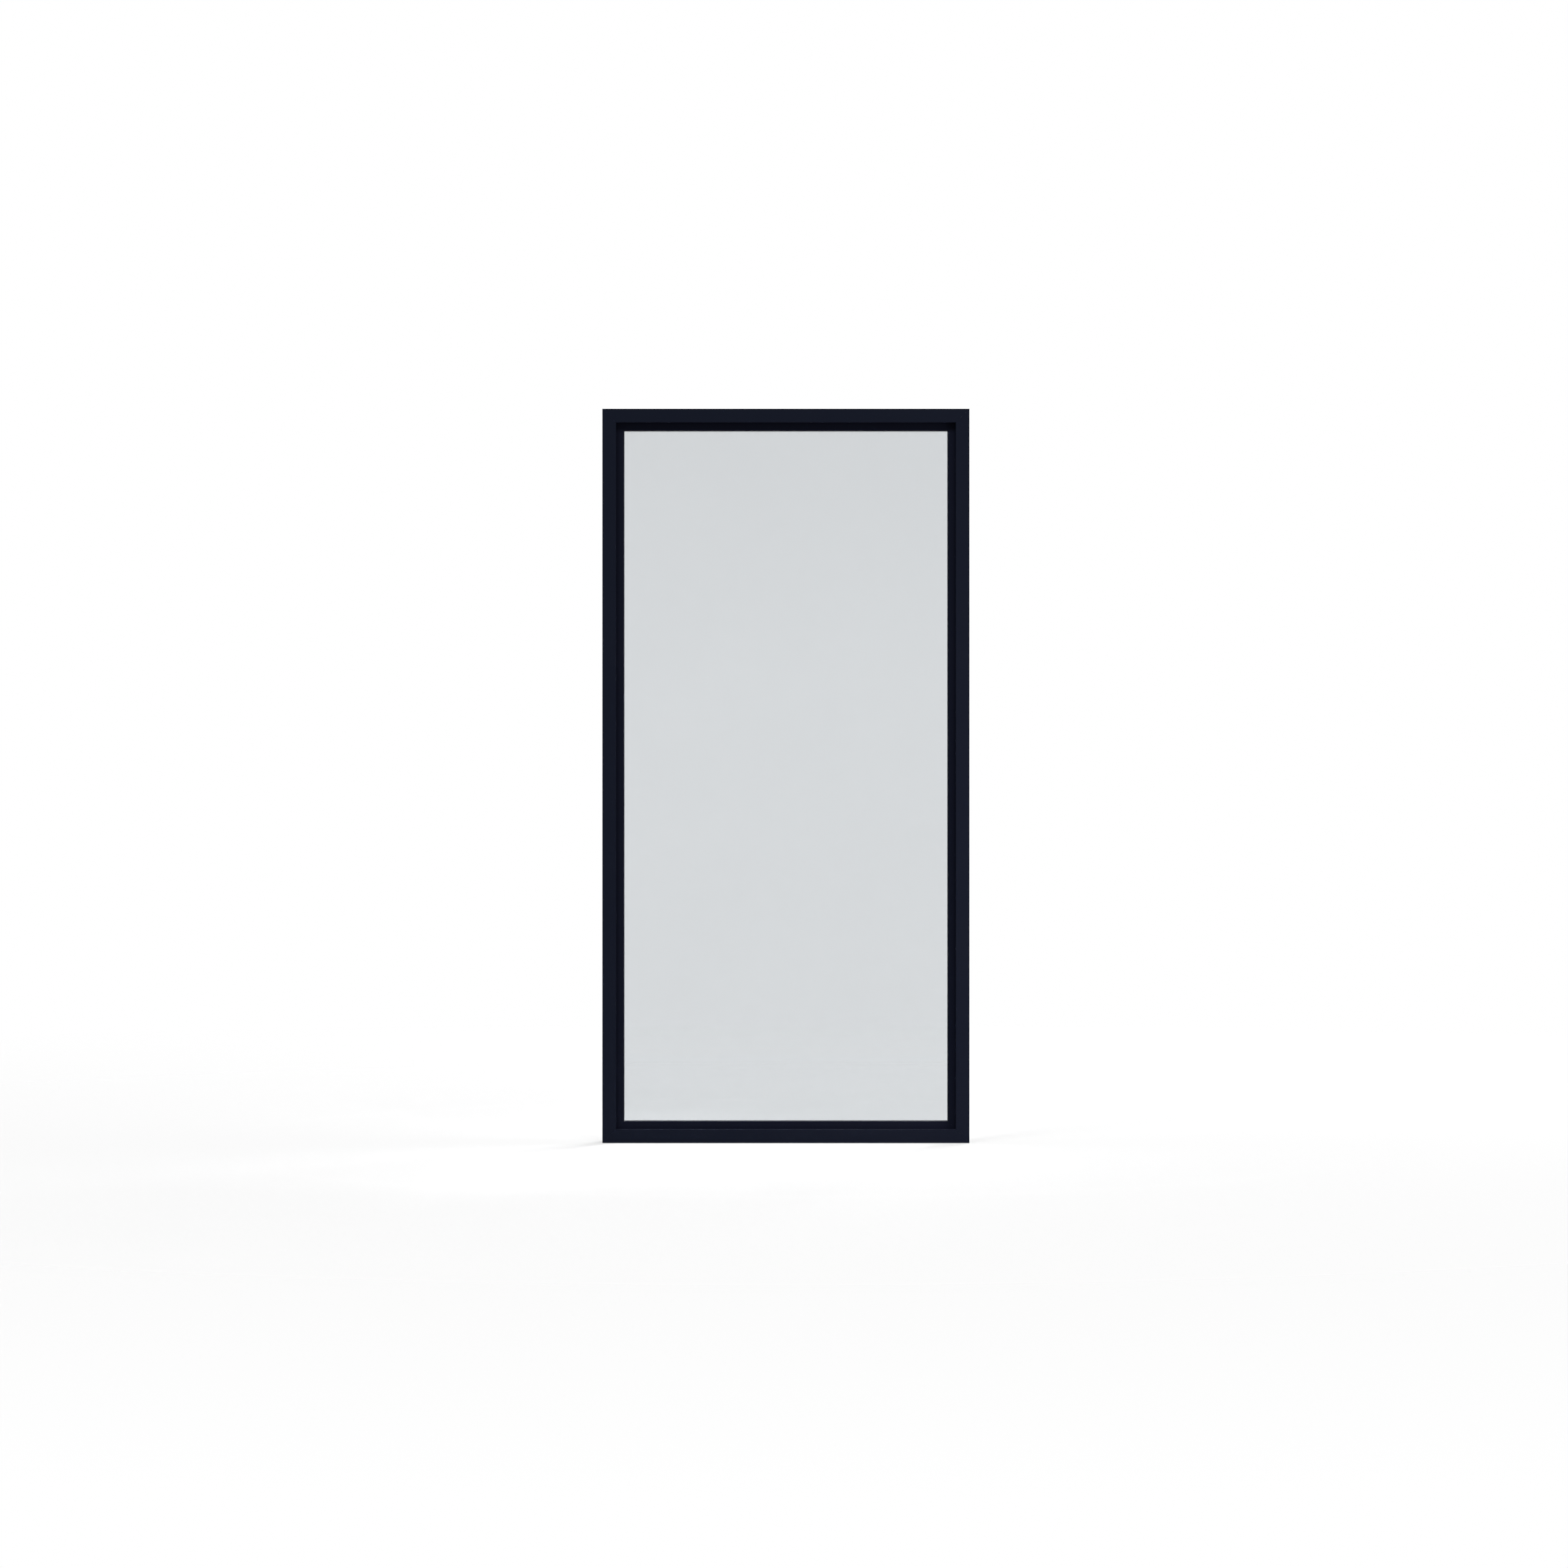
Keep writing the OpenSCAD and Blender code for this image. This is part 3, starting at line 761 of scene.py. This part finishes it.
class BeadingTree(ShapeTree):
    """A thin pressed-out line of butyl along X, with an uneven edge."""

    title = "butyl line"
    inputs = (
        ("Geometry", "Geometry", None),
        ("Half Span", "Float", 0.4),
        ("Radius", "Float", 0.0003),
        ("Step", "Float", 0.008),
        ("Depth", "Float", 0.0),
        ("Height", "Float", 0.0),
        ("Finish", "Material", None),
    )
    outputs = (("Line", "Geometry"),)
    corners: int = 6
    waves: float = 90.0

    @classmethod
    def shape(cls, wiring: Wiring, given: bpy.types.bpy_prop_collection) -> bpy.types.NodeSocket:
        """Push a ring of changing size along a line."""
        ends = []
        for way in (-1.0, 1.0):
            reach = wiring.math("MULTIPLY", given["Half Span"], way)
            ends.append(cls.point(wiring, reach, given["Depth"], given["Height"]))
        line = wiring.feed(wiring.add("GeometryNodeCurvePrimitiveLine"), {"Start": ends[0], "End": ends[1]})
        fine = wiring.add("GeometryNodeResampleCurve", mode="LENGTH")
        wiring.feed(fine, {"Curve": line.outputs["Curve"], "Length": given["Step"]})
        here = wiring.add("GeometryNodeInputPosition").outputs[0]
        wave = wiring.span(wiring.noise(here, cls.waves, 2.0), 0.3, 0.7, 0.55, 1.0)
        ring = wiring.add("GeometryNodeCurvePrimitiveCircle")
        wiring.feed(ring, {"Resolution": cls.corners, "Radius": given["Radius"]})
        curves = {"Curve": fine.outputs["Curve"], "Profile Curve": ring.outputs["Curve"]}
        tube = wiring.add("GeometryNodeCurveToMesh")
        return wiring.feed(tube, {**curves, "Scale": wave, "Fill Caps": True}).outputs[0]


# Making pieces


class Maker:
    """Turns outlines, node trees and copies of solids into finished pieces."""

    def __init__(self) -> None:
        """Start the list of pieces."""
        self.made: list[bpy.types.Object] = []

    def link(self, name: str, mesh: bpy.types.Mesh) -> bpy.types.Object:
        """Put a mesh in the scene as an object at the origin."""
        obj = bpy.data.objects.new(name, mesh)
        bpy.context.scene.collection.objects.link(obj)
        return obj

    def grow(
        self,
        name: str,
        base: bpy.types.Mesh,
        tree: bpy.types.NodeTree,
        values: dict[str, object],
    ) -> bpy.types.Mesh:
        """Run a node tree on a mesh and return the plain result.

        Args:
            name: name of the result.
            base: mesh that goes into the tree.
            tree: the Geometry Nodes tree.
            values: the tree's inputs by name.

        Returns:
            A mesh with no modifier behind it.
        """
        obj = self.link(f"{name}_base", base)
        modifier = obj.modifiers.new("shape", "NODES")
        modifier.node_group = tree
        for item in tree.interface.items_tree:
            if item.item_type == "SOCKET" and item.in_out == "INPUT" and item.name in values:
                modifier[item.identifier] = values[item.name]
        return self.settle(obj, name)

    def settle(self, obj: bpy.types.Object, name: str) -> bpy.types.Mesh:
        """Turn an object's live modifiers into a plain mesh, and drop the object."""
        bpy.context.view_layer.update()
        ready = obj.evaluated_get(bpy.context.evaluated_depsgraph_get())
        mesh = bpy.data.meshes.new_from_object(ready)
        mesh.name = name
        old = obj.data
        obj.modifiers.clear()
        bpy.data.objects.remove(obj)
        if old.users == 0:
            bpy.data.meshes.remove(old)
        return mesh

    def outward(self, mesh: bpy.types.Mesh) -> None:
        """Merge doubles and point every face outwards."""
        work = bmesh.new()
        work.from_mesh(mesh)
        bmesh.ops.remove_doubles(work, verts=work.verts, dist=WELD)
        bmesh.ops.recalc_face_normals(work, faces=work.faces)
        work.to_mesh(mesh)
        work.free()

    def section(self, name: str, loops: Iterable[Outline], room_y: float) -> bpy.types.Mesh:
        """Draw closed outlines as edges in the XY plane.

        Args:
            name: name of the mesh.
            loops: outlines in millimetres, as (depth, height) pairs.
            room_y: row coordinate of depth 0, in metres.

        Returns:
            A mesh of edges only.
        """
        points: list[tuple[float, float, float]] = []
        edges: list[tuple[int, int]] = []
        for loop in loops:
            first = len(points)
            points += [(room_y + depth * MM, height * MM, 0.0) for depth, height in loop]
            edges += [(first + k, first + (k + 1) % len(loop)) for k in range(len(loop))]
        mesh = bpy.data.meshes.new(name)
        mesh.from_pydata(points, edges, [])
        return mesh

    def bar(
        self,
        name: str,
        loops: Sequence[Outline],
        sizes: WindowSizes,
        side: Side,
        finish: bpy.types.Material,
        end_gap: float = 0.0,
    ) -> bpy.types.Object:
        """Make a mitred bar on one side of the window.

        Args:
            name: the piece's name.
            loops: its section's outlines.
            sizes: the window's sizes.
            side: the side that it lies on.
            finish: its material.
            end_gap: how far each end stays short of the mitre, in metres.

        Returns:
            The piece.
        """
        base = self.section(f"{name}_section", loops, sizes.room_y)
        values = {"Length": sizes.length(side), "End Gap": end_gap, "Finish": finish}
        mesh = self.grow(name, base, BarTree.tree(), values)
        self.outward(mesh)
        mesh.transform(sizes.place(side))
        self.smooth(mesh, 40.0)
        return self.link(name, mesh)

    def rounded_copy(
        self,
        node: str,
        name: str,
        finish: bpy.types.Material,
        width: float,
        segments: int,
        end_gap: float = 0.0,
    ) -> bpy.types.Object:
        """Copy a solid and round its sharp edges, so that joints show as hairlines.

        Args:
            node: the solid's node.
            name: the piece's name.
            finish: its material.
            width: how far the rounding reaches from each edge, in metres.
            segments: number of faces across the rounding.
            end_gap: how far each end stays short of the mitre, in metres.

        Returns:
            The piece, which stands for the node.
        """
        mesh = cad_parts[node].data.copy()
        work = bmesh.new()
        work.from_mesh(mesh)
        bmesh.ops.remove_doubles(work, verts=work.verts, dist=2 * WELD)
        bmesh.ops.dissolve_limit(
            work, angle_limit=math.radians(0.5), verts=work.verts, edges=work.edges
        )
        work.to_mesh(mesh)
        work.free()
        if end_gap:
            mesh.transform(self.shorten(node, end_gap))
        mesh.materials.clear()
        mesh.materials.append(finish)
        mesh.polygons.foreach_set("material_index", [0] * len(mesh.polygons))
        obj = self.link(f"{name}_base", mesh)
        bevel = obj.modifiers.new("edges", "BEVEL")
        bevel.width = width
        bevel.segments = segments
        bevel.limit_method = "ANGLE"
        bevel.angle_limit = math.radians(35)
        bevel.use_clamp_overlap = True
        self.smooth(mesh, 180.0)
        flat = obj.modifiers.new("flat faces", "WEIGHTED_NORMAL")
        flat.weight = 100
        flat.keep_sharp = False
        return self.link(name, self.settle(obj, name))

    def shorten(self, node: str, end_gap: float) -> Matrix:
        """Squeeze a solid along its longest side.

        Args:
            node: the solid's node.
            end_gap: how much each end gives up, in metres.

        Returns:
            The matrix that squeezes it about its middle.
        """
        low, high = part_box(node)
        size = high - low
        middle = (low + high) / 2
        axis = max(range(3), key=lambda k: size[k])
        along = Vector([1.0 if k == axis else 0.0 for k in range(3)])
        squeeze = Matrix.Scale(1 - 2 * end_gap / size[axis], 4, along)
        return Matrix.Translation(middle) @ squeeze @ Matrix.Translation(-middle)

    def smooth(self, mesh: bpy.types.Mesh, degrees: float) -> None:
        """Shade smooth across edges that bend less than an angle."""
        mesh.polygons.foreach_set("use_smooth", [True] * len(mesh.polygons))
        mesh.set_sharp_from_angle(angle=math.radians(degrees))

    def keep(self, obj: bpy.types.Object, slot: str, *nodes: str) -> bpy.types.Object:
        """Put a finished piece on the frame.

        Args:
            obj: the piece.
            slot: the record's material slot; not used.
            nodes: the solids that it stands for.

        Returns:
            The same piece.
        """
        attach(obj, "root")
        if nodes:
            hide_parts(*nodes)
        self.made.append(obj)
        LOG.info("%s: %d faces", obj.name, len(obj.data.polygons))
        return obj

    def dress(self, node: str, finish: bpy.types.Material) -> None:
        """Give a solid that stays a better finish."""
        mesh_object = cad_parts[node]
        mesh_object.data.materials.clear()
        mesh_object.data.materials.append(finish)
        LOG.info("%s: dressed", node)


# Sub-assemblies


@dataclass
class FrameShells:
    """The room-side and weather-side extrusions of the frame.

    Attributes:
        edge: rounding of the cut ends and edges, in metres.
        segments: faces across the rounding.
        end_gap: half the width of the hairline in a room-side mitre, in metres. The weather-side
            mitres stay closed, so that no light shows through.
    """

    edge: float = 0.00028
    segments: int = 2
    end_gap: float = 0.00006

    def build(self, maker: Maker, finishes: Finishes) -> None:
        """Make the eight extrusions."""
        for side in Side:
            for shell, gap in (("room_frame", self.end_gap), ("weather_frame", 0.0)):
                node = f"{shell}_{side.value}"
                piece = maker.rounded_copy(
                    node, f"{node}_coated", finishes.frame, self.edge, self.segments, gap
                )
                maker.keep(piece, "frame_coating", node)


@dataclass
class GlazingBeads:
    """The snap-in beads on the room side.

    Attributes:
        edge: rounding of the cut ends and edges, in metres.
        segments: faces across the rounding.
        end_gap: half the width of a mitre's hairline, in metres.
    """

    edge: float = 0.0002
    segments: int = 2
    end_gap: float = 0.00006

    def build(self, maker: Maker, finishes: Finishes) -> None:
        """Make the four beads."""
        for side in Side:
            node = f"glazing_bead_{side.value}"
            # The beads take the darker bead coat, which is painted shade of their recess.
            piece = maker.rounded_copy(
                node, f"{node}_coated", finishes.bead, self.edge, self.segments, self.end_gap
            )
            maker.keep(piece, "bead_coating", node)


@dataclass
class Gaskets:
    """The rubber gaskets on both sides of the glass, in millimetres.

    Attributes:
        thickness: thickness from the metal to the glass.
        clearance: hair's breadth kept from the glass.
        crown_steps: faces over the round crown.
        ribs: depth of the fine grooves along the crown.
        rib_step: steps from each end of the crown to its groove.
        drop: distance from the metal's top edge down to the middle of the root.
        tail: lower end of the gasket on the metal, below that middle.
        tip: its lower end on the glass.
        root: half of the root, as (depth in the metal, height above that middle).
        end_gap: how far each gasket stays short of its mitre, in metres.
    """

    thickness: float = GASKET
    clearance: float = 0.04
    crown_steps: int = 14
    ribs: float = 0.18
    rib_step: int = 4
    drop: float = 4.0
    tail: float = 3.25
    tip: float = 1.9
    root: tuple[tuple[float, float], ...] = ((0.0, 1.3), (1.2, 1.3), (1.2, 2.2), (3.6, 0.65))
    end_gap: float = 0.00004

    def outline(self, edge: float, crown: float) -> Outline:
        """Section of the gasket, with its groove's mouth at depth 0.

        Args:
            edge: height of the top edge of the metal that holds it.
            crown: height of its own round top.

        Returns:
            The closed outline.
        """
        thick = self.thickness - self.clearance
        radius = thick / 2
        centre = crown - radius
        top: Outline = []
        for step in range(self.crown_steps + 1):
            angle = math.pi * step / self.crown_steps
            dip = self.ribs if step in (self.rib_step, self.crown_steps - self.rib_step) else 0.0
            reach = radius - dip
            top.append((radius + reach * math.cos(angle), centre + reach * math.sin(angle)))
        middle = edge - self.drop
        return [
            (0.0, middle - self.tail),
            (thick, middle - self.tip),
            *top,
            *[(-depth, middle + up) for depth, up in self.root],
            *[(-depth, middle - up) for depth, up in reversed(self.root)],
        ]

    def build(self, maker: Maker, finishes: Finishes, sizes: WindowSizes) -> None:
        """Make the eight gaskets."""
        beads = self.outline(sizes.sight, sizes.crown)
        nib = self.outline(sizes.nib_top, sizes.nib_top + sizes.crown - sizes.sight)
        room = [(sizes.bead_back + depth, height) for depth, height in beads]
        weather = [(sizes.nib - depth, height) for depth, height in nib]
        for side in Side:
            for where, loop in (("room", room), ("weather", weather)):
                node = f"{where}_gasket_{side.value}"
                piece = maker.bar(f"{node}_rubber", [loop], sizes, side, finishes.rubber, self.end_gap)
                maker.keep(piece, "gasket_rubber", node)


@dataclass
class ThermalStrips:
    """The polyamide strips that join the two shells, in millimetres.

    Attributes:
        room: depth where the room-side shell ends.
        weather: depth where the weather-side shell starts.
        foot_depth: depth of the dovetail feet.
        foot: width of the feet.
        thickness: thickness of the strip.
        offset: height of the outer strip's middle.
        rib_width: width of the hollow rib.
        rib_height: height of the hollow rib.
        lines: number of fine grooves on the open face.
        line_depth: depth of the fine grooves.
        line_half: half their width.
        end_gap: how far each strip stays short of its mitre, in metres.
    """

    room: float = 39.0
    weather: float = 58.0
    foot_depth: float = 2.5
    foot: float = 4.4
    thickness: float = 2.0
    offset: float = 4.2
    rib_width: float = 7.0
    rib_height: float = 3.6
    lines: int = 6
    line_depth: float = 0.25
    line_half: float = 0.35
    end_gap: float = 0.00004

    def outlines(self, middle: float, way: float) -> list[Outline]:
        """Section of one strip and of its hollow rib.

        Args:
            middle: height of the strip's middle.
            way: 1 where the rib stands inwards from the strip, and -1 where it stands outwards.

        Returns:
            The outer outline and the outline of the hollow.
        """
        half = self.thickness / 2
        centre = (self.room + self.weather) / 2
        low = centre - self.rib_width / 2
        high = centre + self.rib_width / 2
        open_face: Outline = []
        pitch = (self.weather - self.room) / (self.lines + 1)
        for number in range(1, self.lines + 1):
            at = self.room + pitch * number
            open_face += [
                (at - self.line_half, middle - way * half),
                (at, middle - way * (half - self.line_depth)),
                (at + self.line_half, middle - way * half),
            ]
        outer = [
            (self.room - self.foot_depth, middle - way * self.foot / 2),
            (self.room, middle - way * half),
            *open_face,
            (self.weather, middle - way * half),
            (self.weather + self.foot_depth, middle - way * self.foot / 2),
            (self.weather + self.foot_depth, middle + way * self.foot / 2),
            (self.weather, middle + way * half),
            (high, middle + way * half),
            (high, middle + way * (half + self.rib_height)),
            (low, middle + way * (half + self.rib_height)),
            (low, middle + way * half),
            (self.room, middle + way * half),
            (self.room - self.foot_depth, middle + way * self.foot / 2),
        ]
        hollow = [
            (low + half, middle),
            (high - half, middle),
            (high - half, middle + way * self.rib_height),
            (low + half, middle + way * self.rib_height),
        ]
        return [outer, hollow]

    def build(self, maker: Maker, finishes: Finishes, sizes: WindowSizes) -> None:
        """Make the strips of the four sides."""
        loops = self.outlines(self.offset, 1.0) + self.outlines(sizes.face - self.offset, -1.0)
        for side in Side:
            node = f"thermal_strips_{side.value}"
            piece = maker.bar(f"{node}_polyamide", loops, sizes, side, finishes.strip, self.end_gap)
            maker.keep(piece, "polyamide", node)


@dataclass
class GlassUnit:
    """The sealed double-glazed unit, in millimetres.

    Attributes:
        seal: depth of the edge seal.
        spacer: height of the spacer bars.
        wall: wall of the spacer bars.
        slant: slant of the spacer bars' back corners.
        clearance: hair's breadth kept from the glass.
        pitch: distance between two vent holes.
        hole: radius of a vent hole.
        row_gap: distance between the two rows of vent holes.
        butyl: radius of the butyl line.
        butyl_rise: its height over the bar's open face.
        hole_sink: depth of a plug's middle under that face.
        hole_start: distance from the bar's inner corner to the first hole.
        corner: slant of the spacer bars' open corners.
        hollow: how far the seal's open face is tooled in.
        end_gap: how far each bar stays short of its mitre, in metres.
    """

    seal: float = 6.0
    spacer: float = 7.0
    wall: float = 0.8
    slant: float = 2.0
    clearance: float = 0.05
    pitch: float = 6.0
    hole: float = 0.28
    row_gap: float = 6.4
    butyl: float = 0.42
    butyl_rise: float = 0.1
    hole_sink: float = 0.085
    hole_start: float = 14.0
    corner: float = 0.3
    hollow: float = 0.6
    end_gap: float = 0.00002

    def spacer_outlines(self, sizes: WindowSizes) -> list[Outline]:
        """Section of the spacer bar, outside and inside."""
        near = sizes.bead_back + GASKET + sizes.pane
        back = sizes.glass_edge + self.seal
        outlines = []
        for inset in (self.clearance, self.wall):
            low = near + inset
            high = near + sizes.cavity - inset
            foot = back + (0.0 if inset == self.clearance else inset)
            top = back + self.spacer - (0.0 if inset == self.clearance else inset)
            slant = self.slant - inset / 2
            outlines.append(
                [
                    (low + slant, foot),
                    (high - slant, foot),
                    (high, foot + slant),
                    (high, top - self.corner),
                    (high - self.corner, top),
                    (low + self.corner, top),
                    (low, top - self.corner),
                    (low, foot + slant),
                ]
            )
        return outlines

    def seal_outline(self, sizes: WindowSizes) -> Outline:
        """Section of the edge seal, whose open face is tooled a little hollow."""
        low = sizes.bead_back + GASKET + sizes.pane + self.clearance
        high = low + sizes.cavity - 2 * self.clearance
        edge = sizes.glass_edge
        back = edge + self.seal
        face = []
        for step in range(9):
            share = step / 8
            face.append((low + (high - low) * share, edge + 0.05 + self.hollow * math.sin(math.pi * share)))
        return [
            *face,
            (high, back + self.slant),
            (high - self.slant, back - 0.02),
            (low + self.slant, back - 0.02),
            (low, back + self.slant),
        ]

    def build(self, maker: Maker, finishes: Finishes, sizes: WindowSizes) -> None:
        """Make the spacer bars, their holes, the seals and the panes' finish."""
        for node in ("room_pane", "weather_pane"):
            maker.dress(node, finishes.glass)
            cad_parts[node].visible_shadow = False
        spacer = self.spacer_outlines(sizes)
        seal = self.seal_outline(sizes)
        top = sizes.glass_edge + self.seal + self.spacer
        middle = sizes.bead_back + GASKET + sizes.pane + sizes.cavity / 2
        for side in Side:
            for node, coat, slot, loops, finish in (
                ("spacer_bar", "metal", "spacer_metal", spacer, finishes.spacer),
                ("edge_seal", "sealant", "edge_sealant", [seal], finishes.seal),
            ):
                name = f"{node}_{side.value}"
                bar = maker.bar(f"{name}_{coat}", loops, sizes, side, finish, self.end_gap)
                maker.keep(bar, slot, name)
            self.holes(maker, finishes, sizes, side, middle, top)
            self.butyl_lines(maker, finishes, sizes, side, middle, top)

    def holes(
        self, maker: Maker, finishes: Finishes, sizes: WindowSizes, side: Side, middle: float, top: float
    ) -> None:
        """Make the vent holes of one spacer bar, as dark plugs of painted shade.

        Args:
            maker: makes the piece.
            finishes: the window's finishes.
            sizes: the window's sizes.
            side: the bar's side.
            middle: depth of the bar's middle.
            top: height of its open face.
        """
        name = f"spacer_holes_{side.value}"
        values = {
            "Span": sizes.length(side) - 2 * (top + self.hole_start) * MM,
            "Pitch": self.pitch * MM,
            "Row Gap": self.row_gap * MM,
            "Hole": self.hole * MM,
            "Depth": sizes.room_y + middle * MM,
            "Height": (top - self.hole_sink) * MM,
            "Finish": finishes.hole,
        }
        mesh = maker.grow(name, bpy.data.meshes.new(f"{name}_seed"), PerforationTree.tree(), values)
        mesh.transform(sizes.place(side))
        maker.keep(maker.link(name, mesh), "edge_sealant")

    def butyl_lines(
        self, maker: Maker, finishes: Finishes, sizes: WindowSizes, side: Side, middle: float, top: float
    ) -> None:
        """Make the two butyl lines of one spacer bar.

        Args:
            maker: makes the piece.
            finishes: the window's finishes.
            sizes: the window's sizes.
            side: the bar's side.
            middle: depth of the bar's middle.
            top: height of its open face.
        """
        for where, way in (("room", -1.0), ("weather", 1.0)):
            name = f"butyl_{where}_{side.value}"
            depth = middle + way * (sizes.cavity / 2 - self.butyl - self.clearance)
            values = {
                "Half Span": sizes.length(side) / 2 - top * MM,
                "Radius": self.butyl * MM,
                "Step": 0.008,
                "Depth": sizes.room_y + depth * MM,
                "Height": (top + self.butyl_rise) * MM,
                "Finish": finishes.butyl,
            }
            mesh = maker.grow(name, bpy.data.meshes.new(f"{name}_seed"), BeadingTree.tree(), values)
            maker.outward(mesh)
            mesh.transform(sizes.place(side))
            maker.smooth(mesh, 60.0)
            maker.keep(maker.link(name, mesh), "edge_sealant")


@dataclass
class Fittings:
    """The drain caps, glazing blocks and corner cleats.

    Attributes:
        cap_edge: rounding of the caps' moulded edges, in metres.
    """

    cap_edge: float = 0.00035

    def build(self, maker: Maker, finishes: Finishes) -> None:
        """Make the caps, and dress the blocks and cleats."""
        for hand in ("left", "right"):
            node = f"drain_cap_{hand}"
            piece = maker.rounded_copy(node, f"{node}_moulded", finishes.cap, self.cap_edge, 3)
            maker.keep(piece, "cap_plastic", node)
        for node in ("setting_blocks", "location_blocks"):
            maker.dress(node, finishes.block)
        for corner in ("bottom_left", "bottom_right", "top_left", "top_right"):
            maker.dress(f"corner_cleats_{corner}", finishes.mill)


# Studio


@dataclass(frozen=True)
class SoftLight:
    """A large soft lamp.

    Attributes:
        name: the lamp's name.
        place: where it stands, in metres.
        aim: the point that it shines at.
        width: width of its face, in metres.
        height: height of its face, in metres.
        watts: its power.
        colour: its colour.
        lights_floor: whether it lights the floor too.
    """

    name: str
    place: tuple[float, float, float]
    aim: tuple[float, float, float]
    width: float
    height: float
    watts: float
    colour: tuple[float, float, float] = (1.0, 1.0, 1.0)
    lights_floor: bool = True

    def build(self, floor: bpy.types.Object) -> bpy.types.Object:
        """Make the lamp.

        Args:
            floor: the studio's floor.

        Returns:
            The lamp.
        """
        data = bpy.data.lights.new(self.name, "AREA")
        data.shape = "RECTANGLE"
        data.size = self.width
        data.size_y = self.height
        data.energy = self.watts
        data.color = self.colour
        lamp = bpy.data.objects.new(self.name, data)
        lamp.location = self.place
        lamp.rotation_euler = (Vector(self.aim) - Vector(self.place)).to_track_quat("-Z", "Y").to_euler()
        lamp.visible_camera = False
        lamp.visible_transmission = False
        lamp.visible_glossy = self.lights_floor
        if not self.lights_floor:
            shaded = bpy.data.collections.new(f"{self.name} leaves out")
            shaded.objects.link(floor)
            shaded.collection_objects[0].light_linking.link_state = "EXCLUDE"
            lamp.light_linking.receiver_collection = shaded
        bpy.context.scene.collection.objects.link(lamp)
        return lamp


@dataclass
class Studio:
    """Floor, surroundings, lamps and camera.

    Attributes:
        distance: distance from the camera to the room face, in metres.
        view_width: width of the photographed scene at the room face, in metres.
        shift_x: how far the camera stands from the window's middle, in metres.
        eye: height of the camera, in metres.
        sensor: width of the camera's sensor, in millimetres.
        surround: brightness of the surroundings on the object.
    """

    distance: float = 12.0
    view_width: float = 4.2705
    shift_x: float = -0.0051
    eye: float = 0.978
    sensor: float = 36.0
    surround: float = 0.25

    def floor(self) -> bpy.types.Object:
        """Lay the pale floor."""
        half = 60.0
        mesh = bpy.data.meshes.new("floor")
        corners = [(-half, -half, 0), (half, -half, 0), (half, half, 0), (-half, half, 0)]
        mesh.from_pydata(corners, [], [(0, 1, 2, 3)])
        mesh.materials.append(StudioFloor("studio_floor", 0.24, 0.57, 1.6, 6.0).build())
        floor = bpy.data.objects.new("floor", mesh)
        floor.location = (0.0, 0.0, -0.0005)
        bpy.context.scene.collection.objects.link(floor)
        return floor

    def world(self) -> None:
        """Surround the window with plain white."""
        world = bpy.data.worlds.new("studio")
        world.use_nodes = True
        bpy.context.scene.world = world
        wiring = Wiring(world.node_tree)
        back = world.node_tree.nodes["Background"]
        path = wiring.add("ShaderNodeLightPath")
        seen = wiring.math("MAXIMUM", path.outputs["Is Camera Ray"], path.outputs["Is Glossy Ray"])
        seen = wiring.math("MAXIMUM", seen, path.outputs["Is Transmission Ray"])
        wiring.feed(back, {"Color": (1.0, 1.0, 1.0, 1.0)})
        wiring.join(wiring.span(seen, 0.0, 1.0, self.surround, 1.0), back.inputs["Strength"])

    def lamps(self, floor: bpy.types.Object) -> None:
        """Set up the lamps."""
        lamps = (
            SoftLight("key", (6.0, -19.0, 25.0), (0.0, 0.0, 1.0), 8.8, 8.8, 4750.0),
            SoftLight("side", (2.0, -1.0, 0.6), (0.4, 0.0, 0.4), 0.8, 1.16, 52.0, (1.0, 0.8, 0.72), False),
            SoftLight("back", (4.6, 9.0, 10.6), (0.0, 0.0, 1.0), 4.4, 4.4, 2300.0),
            SoftLight("left", (-11.0, -18.0, 24.0), (0.0, 0.0, 1.0), 8.8, 8.8, 4750.0),
        )
        for lamp in lamps:
            lamp.build(floor)

    def camera(self, sizes: WindowSizes) -> None:
        """Stand the camera where the photograph was taken from."""
        data = bpy.data.cameras.new("camera")
        data.sensor_width = self.sensor
        data.lens = self.sensor * self.distance / self.view_width
        data.clip_end = 200.0
        camera = bpy.data.objects.new("camera", data)
        camera.location = (self.shift_x, sizes.room_y - self.distance, self.eye)
        camera.rotation_euler = (math.pi / 2, 0.0, 0.0)
        bpy.context.scene.collection.objects.link(camera)
        bpy.context.scene.camera = camera

    def build(self, sizes: WindowSizes) -> None:
        """Set up the whole studio."""
        self.world()
        self.lamps(self.floor())
        self.camera(sizes)
        bpy.context.scene.view_settings.view_transform = "Standard"


def write_sizes() -> None:
    """Update the view layer."""
    bpy.context.view_layer.update()


def main() -> None:
    """Build the window and its studio."""
    logging.basicConfig(level=logging.INFO, format="%(name)s %(message)s")
    sizes = WindowSizes.from_solids()
    LOG.info("window %.3f by %.3f m", sizes.width, sizes.height)
    maker = Maker()
    finishes = Finishes()
    FrameShells().build(maker, finishes)
    GlazingBeads().build(maker, finishes)
    Gaskets().build(maker, finishes, sizes)
    ThermalStrips().build(maker, finishes, sizes)
    GlassUnit().build(maker, finishes, sizes)
    Fittings().build(maker, finishes)
    Studio().build(sizes)
    LOG.info("%d pieces made", len(maker.made))
    write_sizes()


if __name__ == "__main__":
    main()
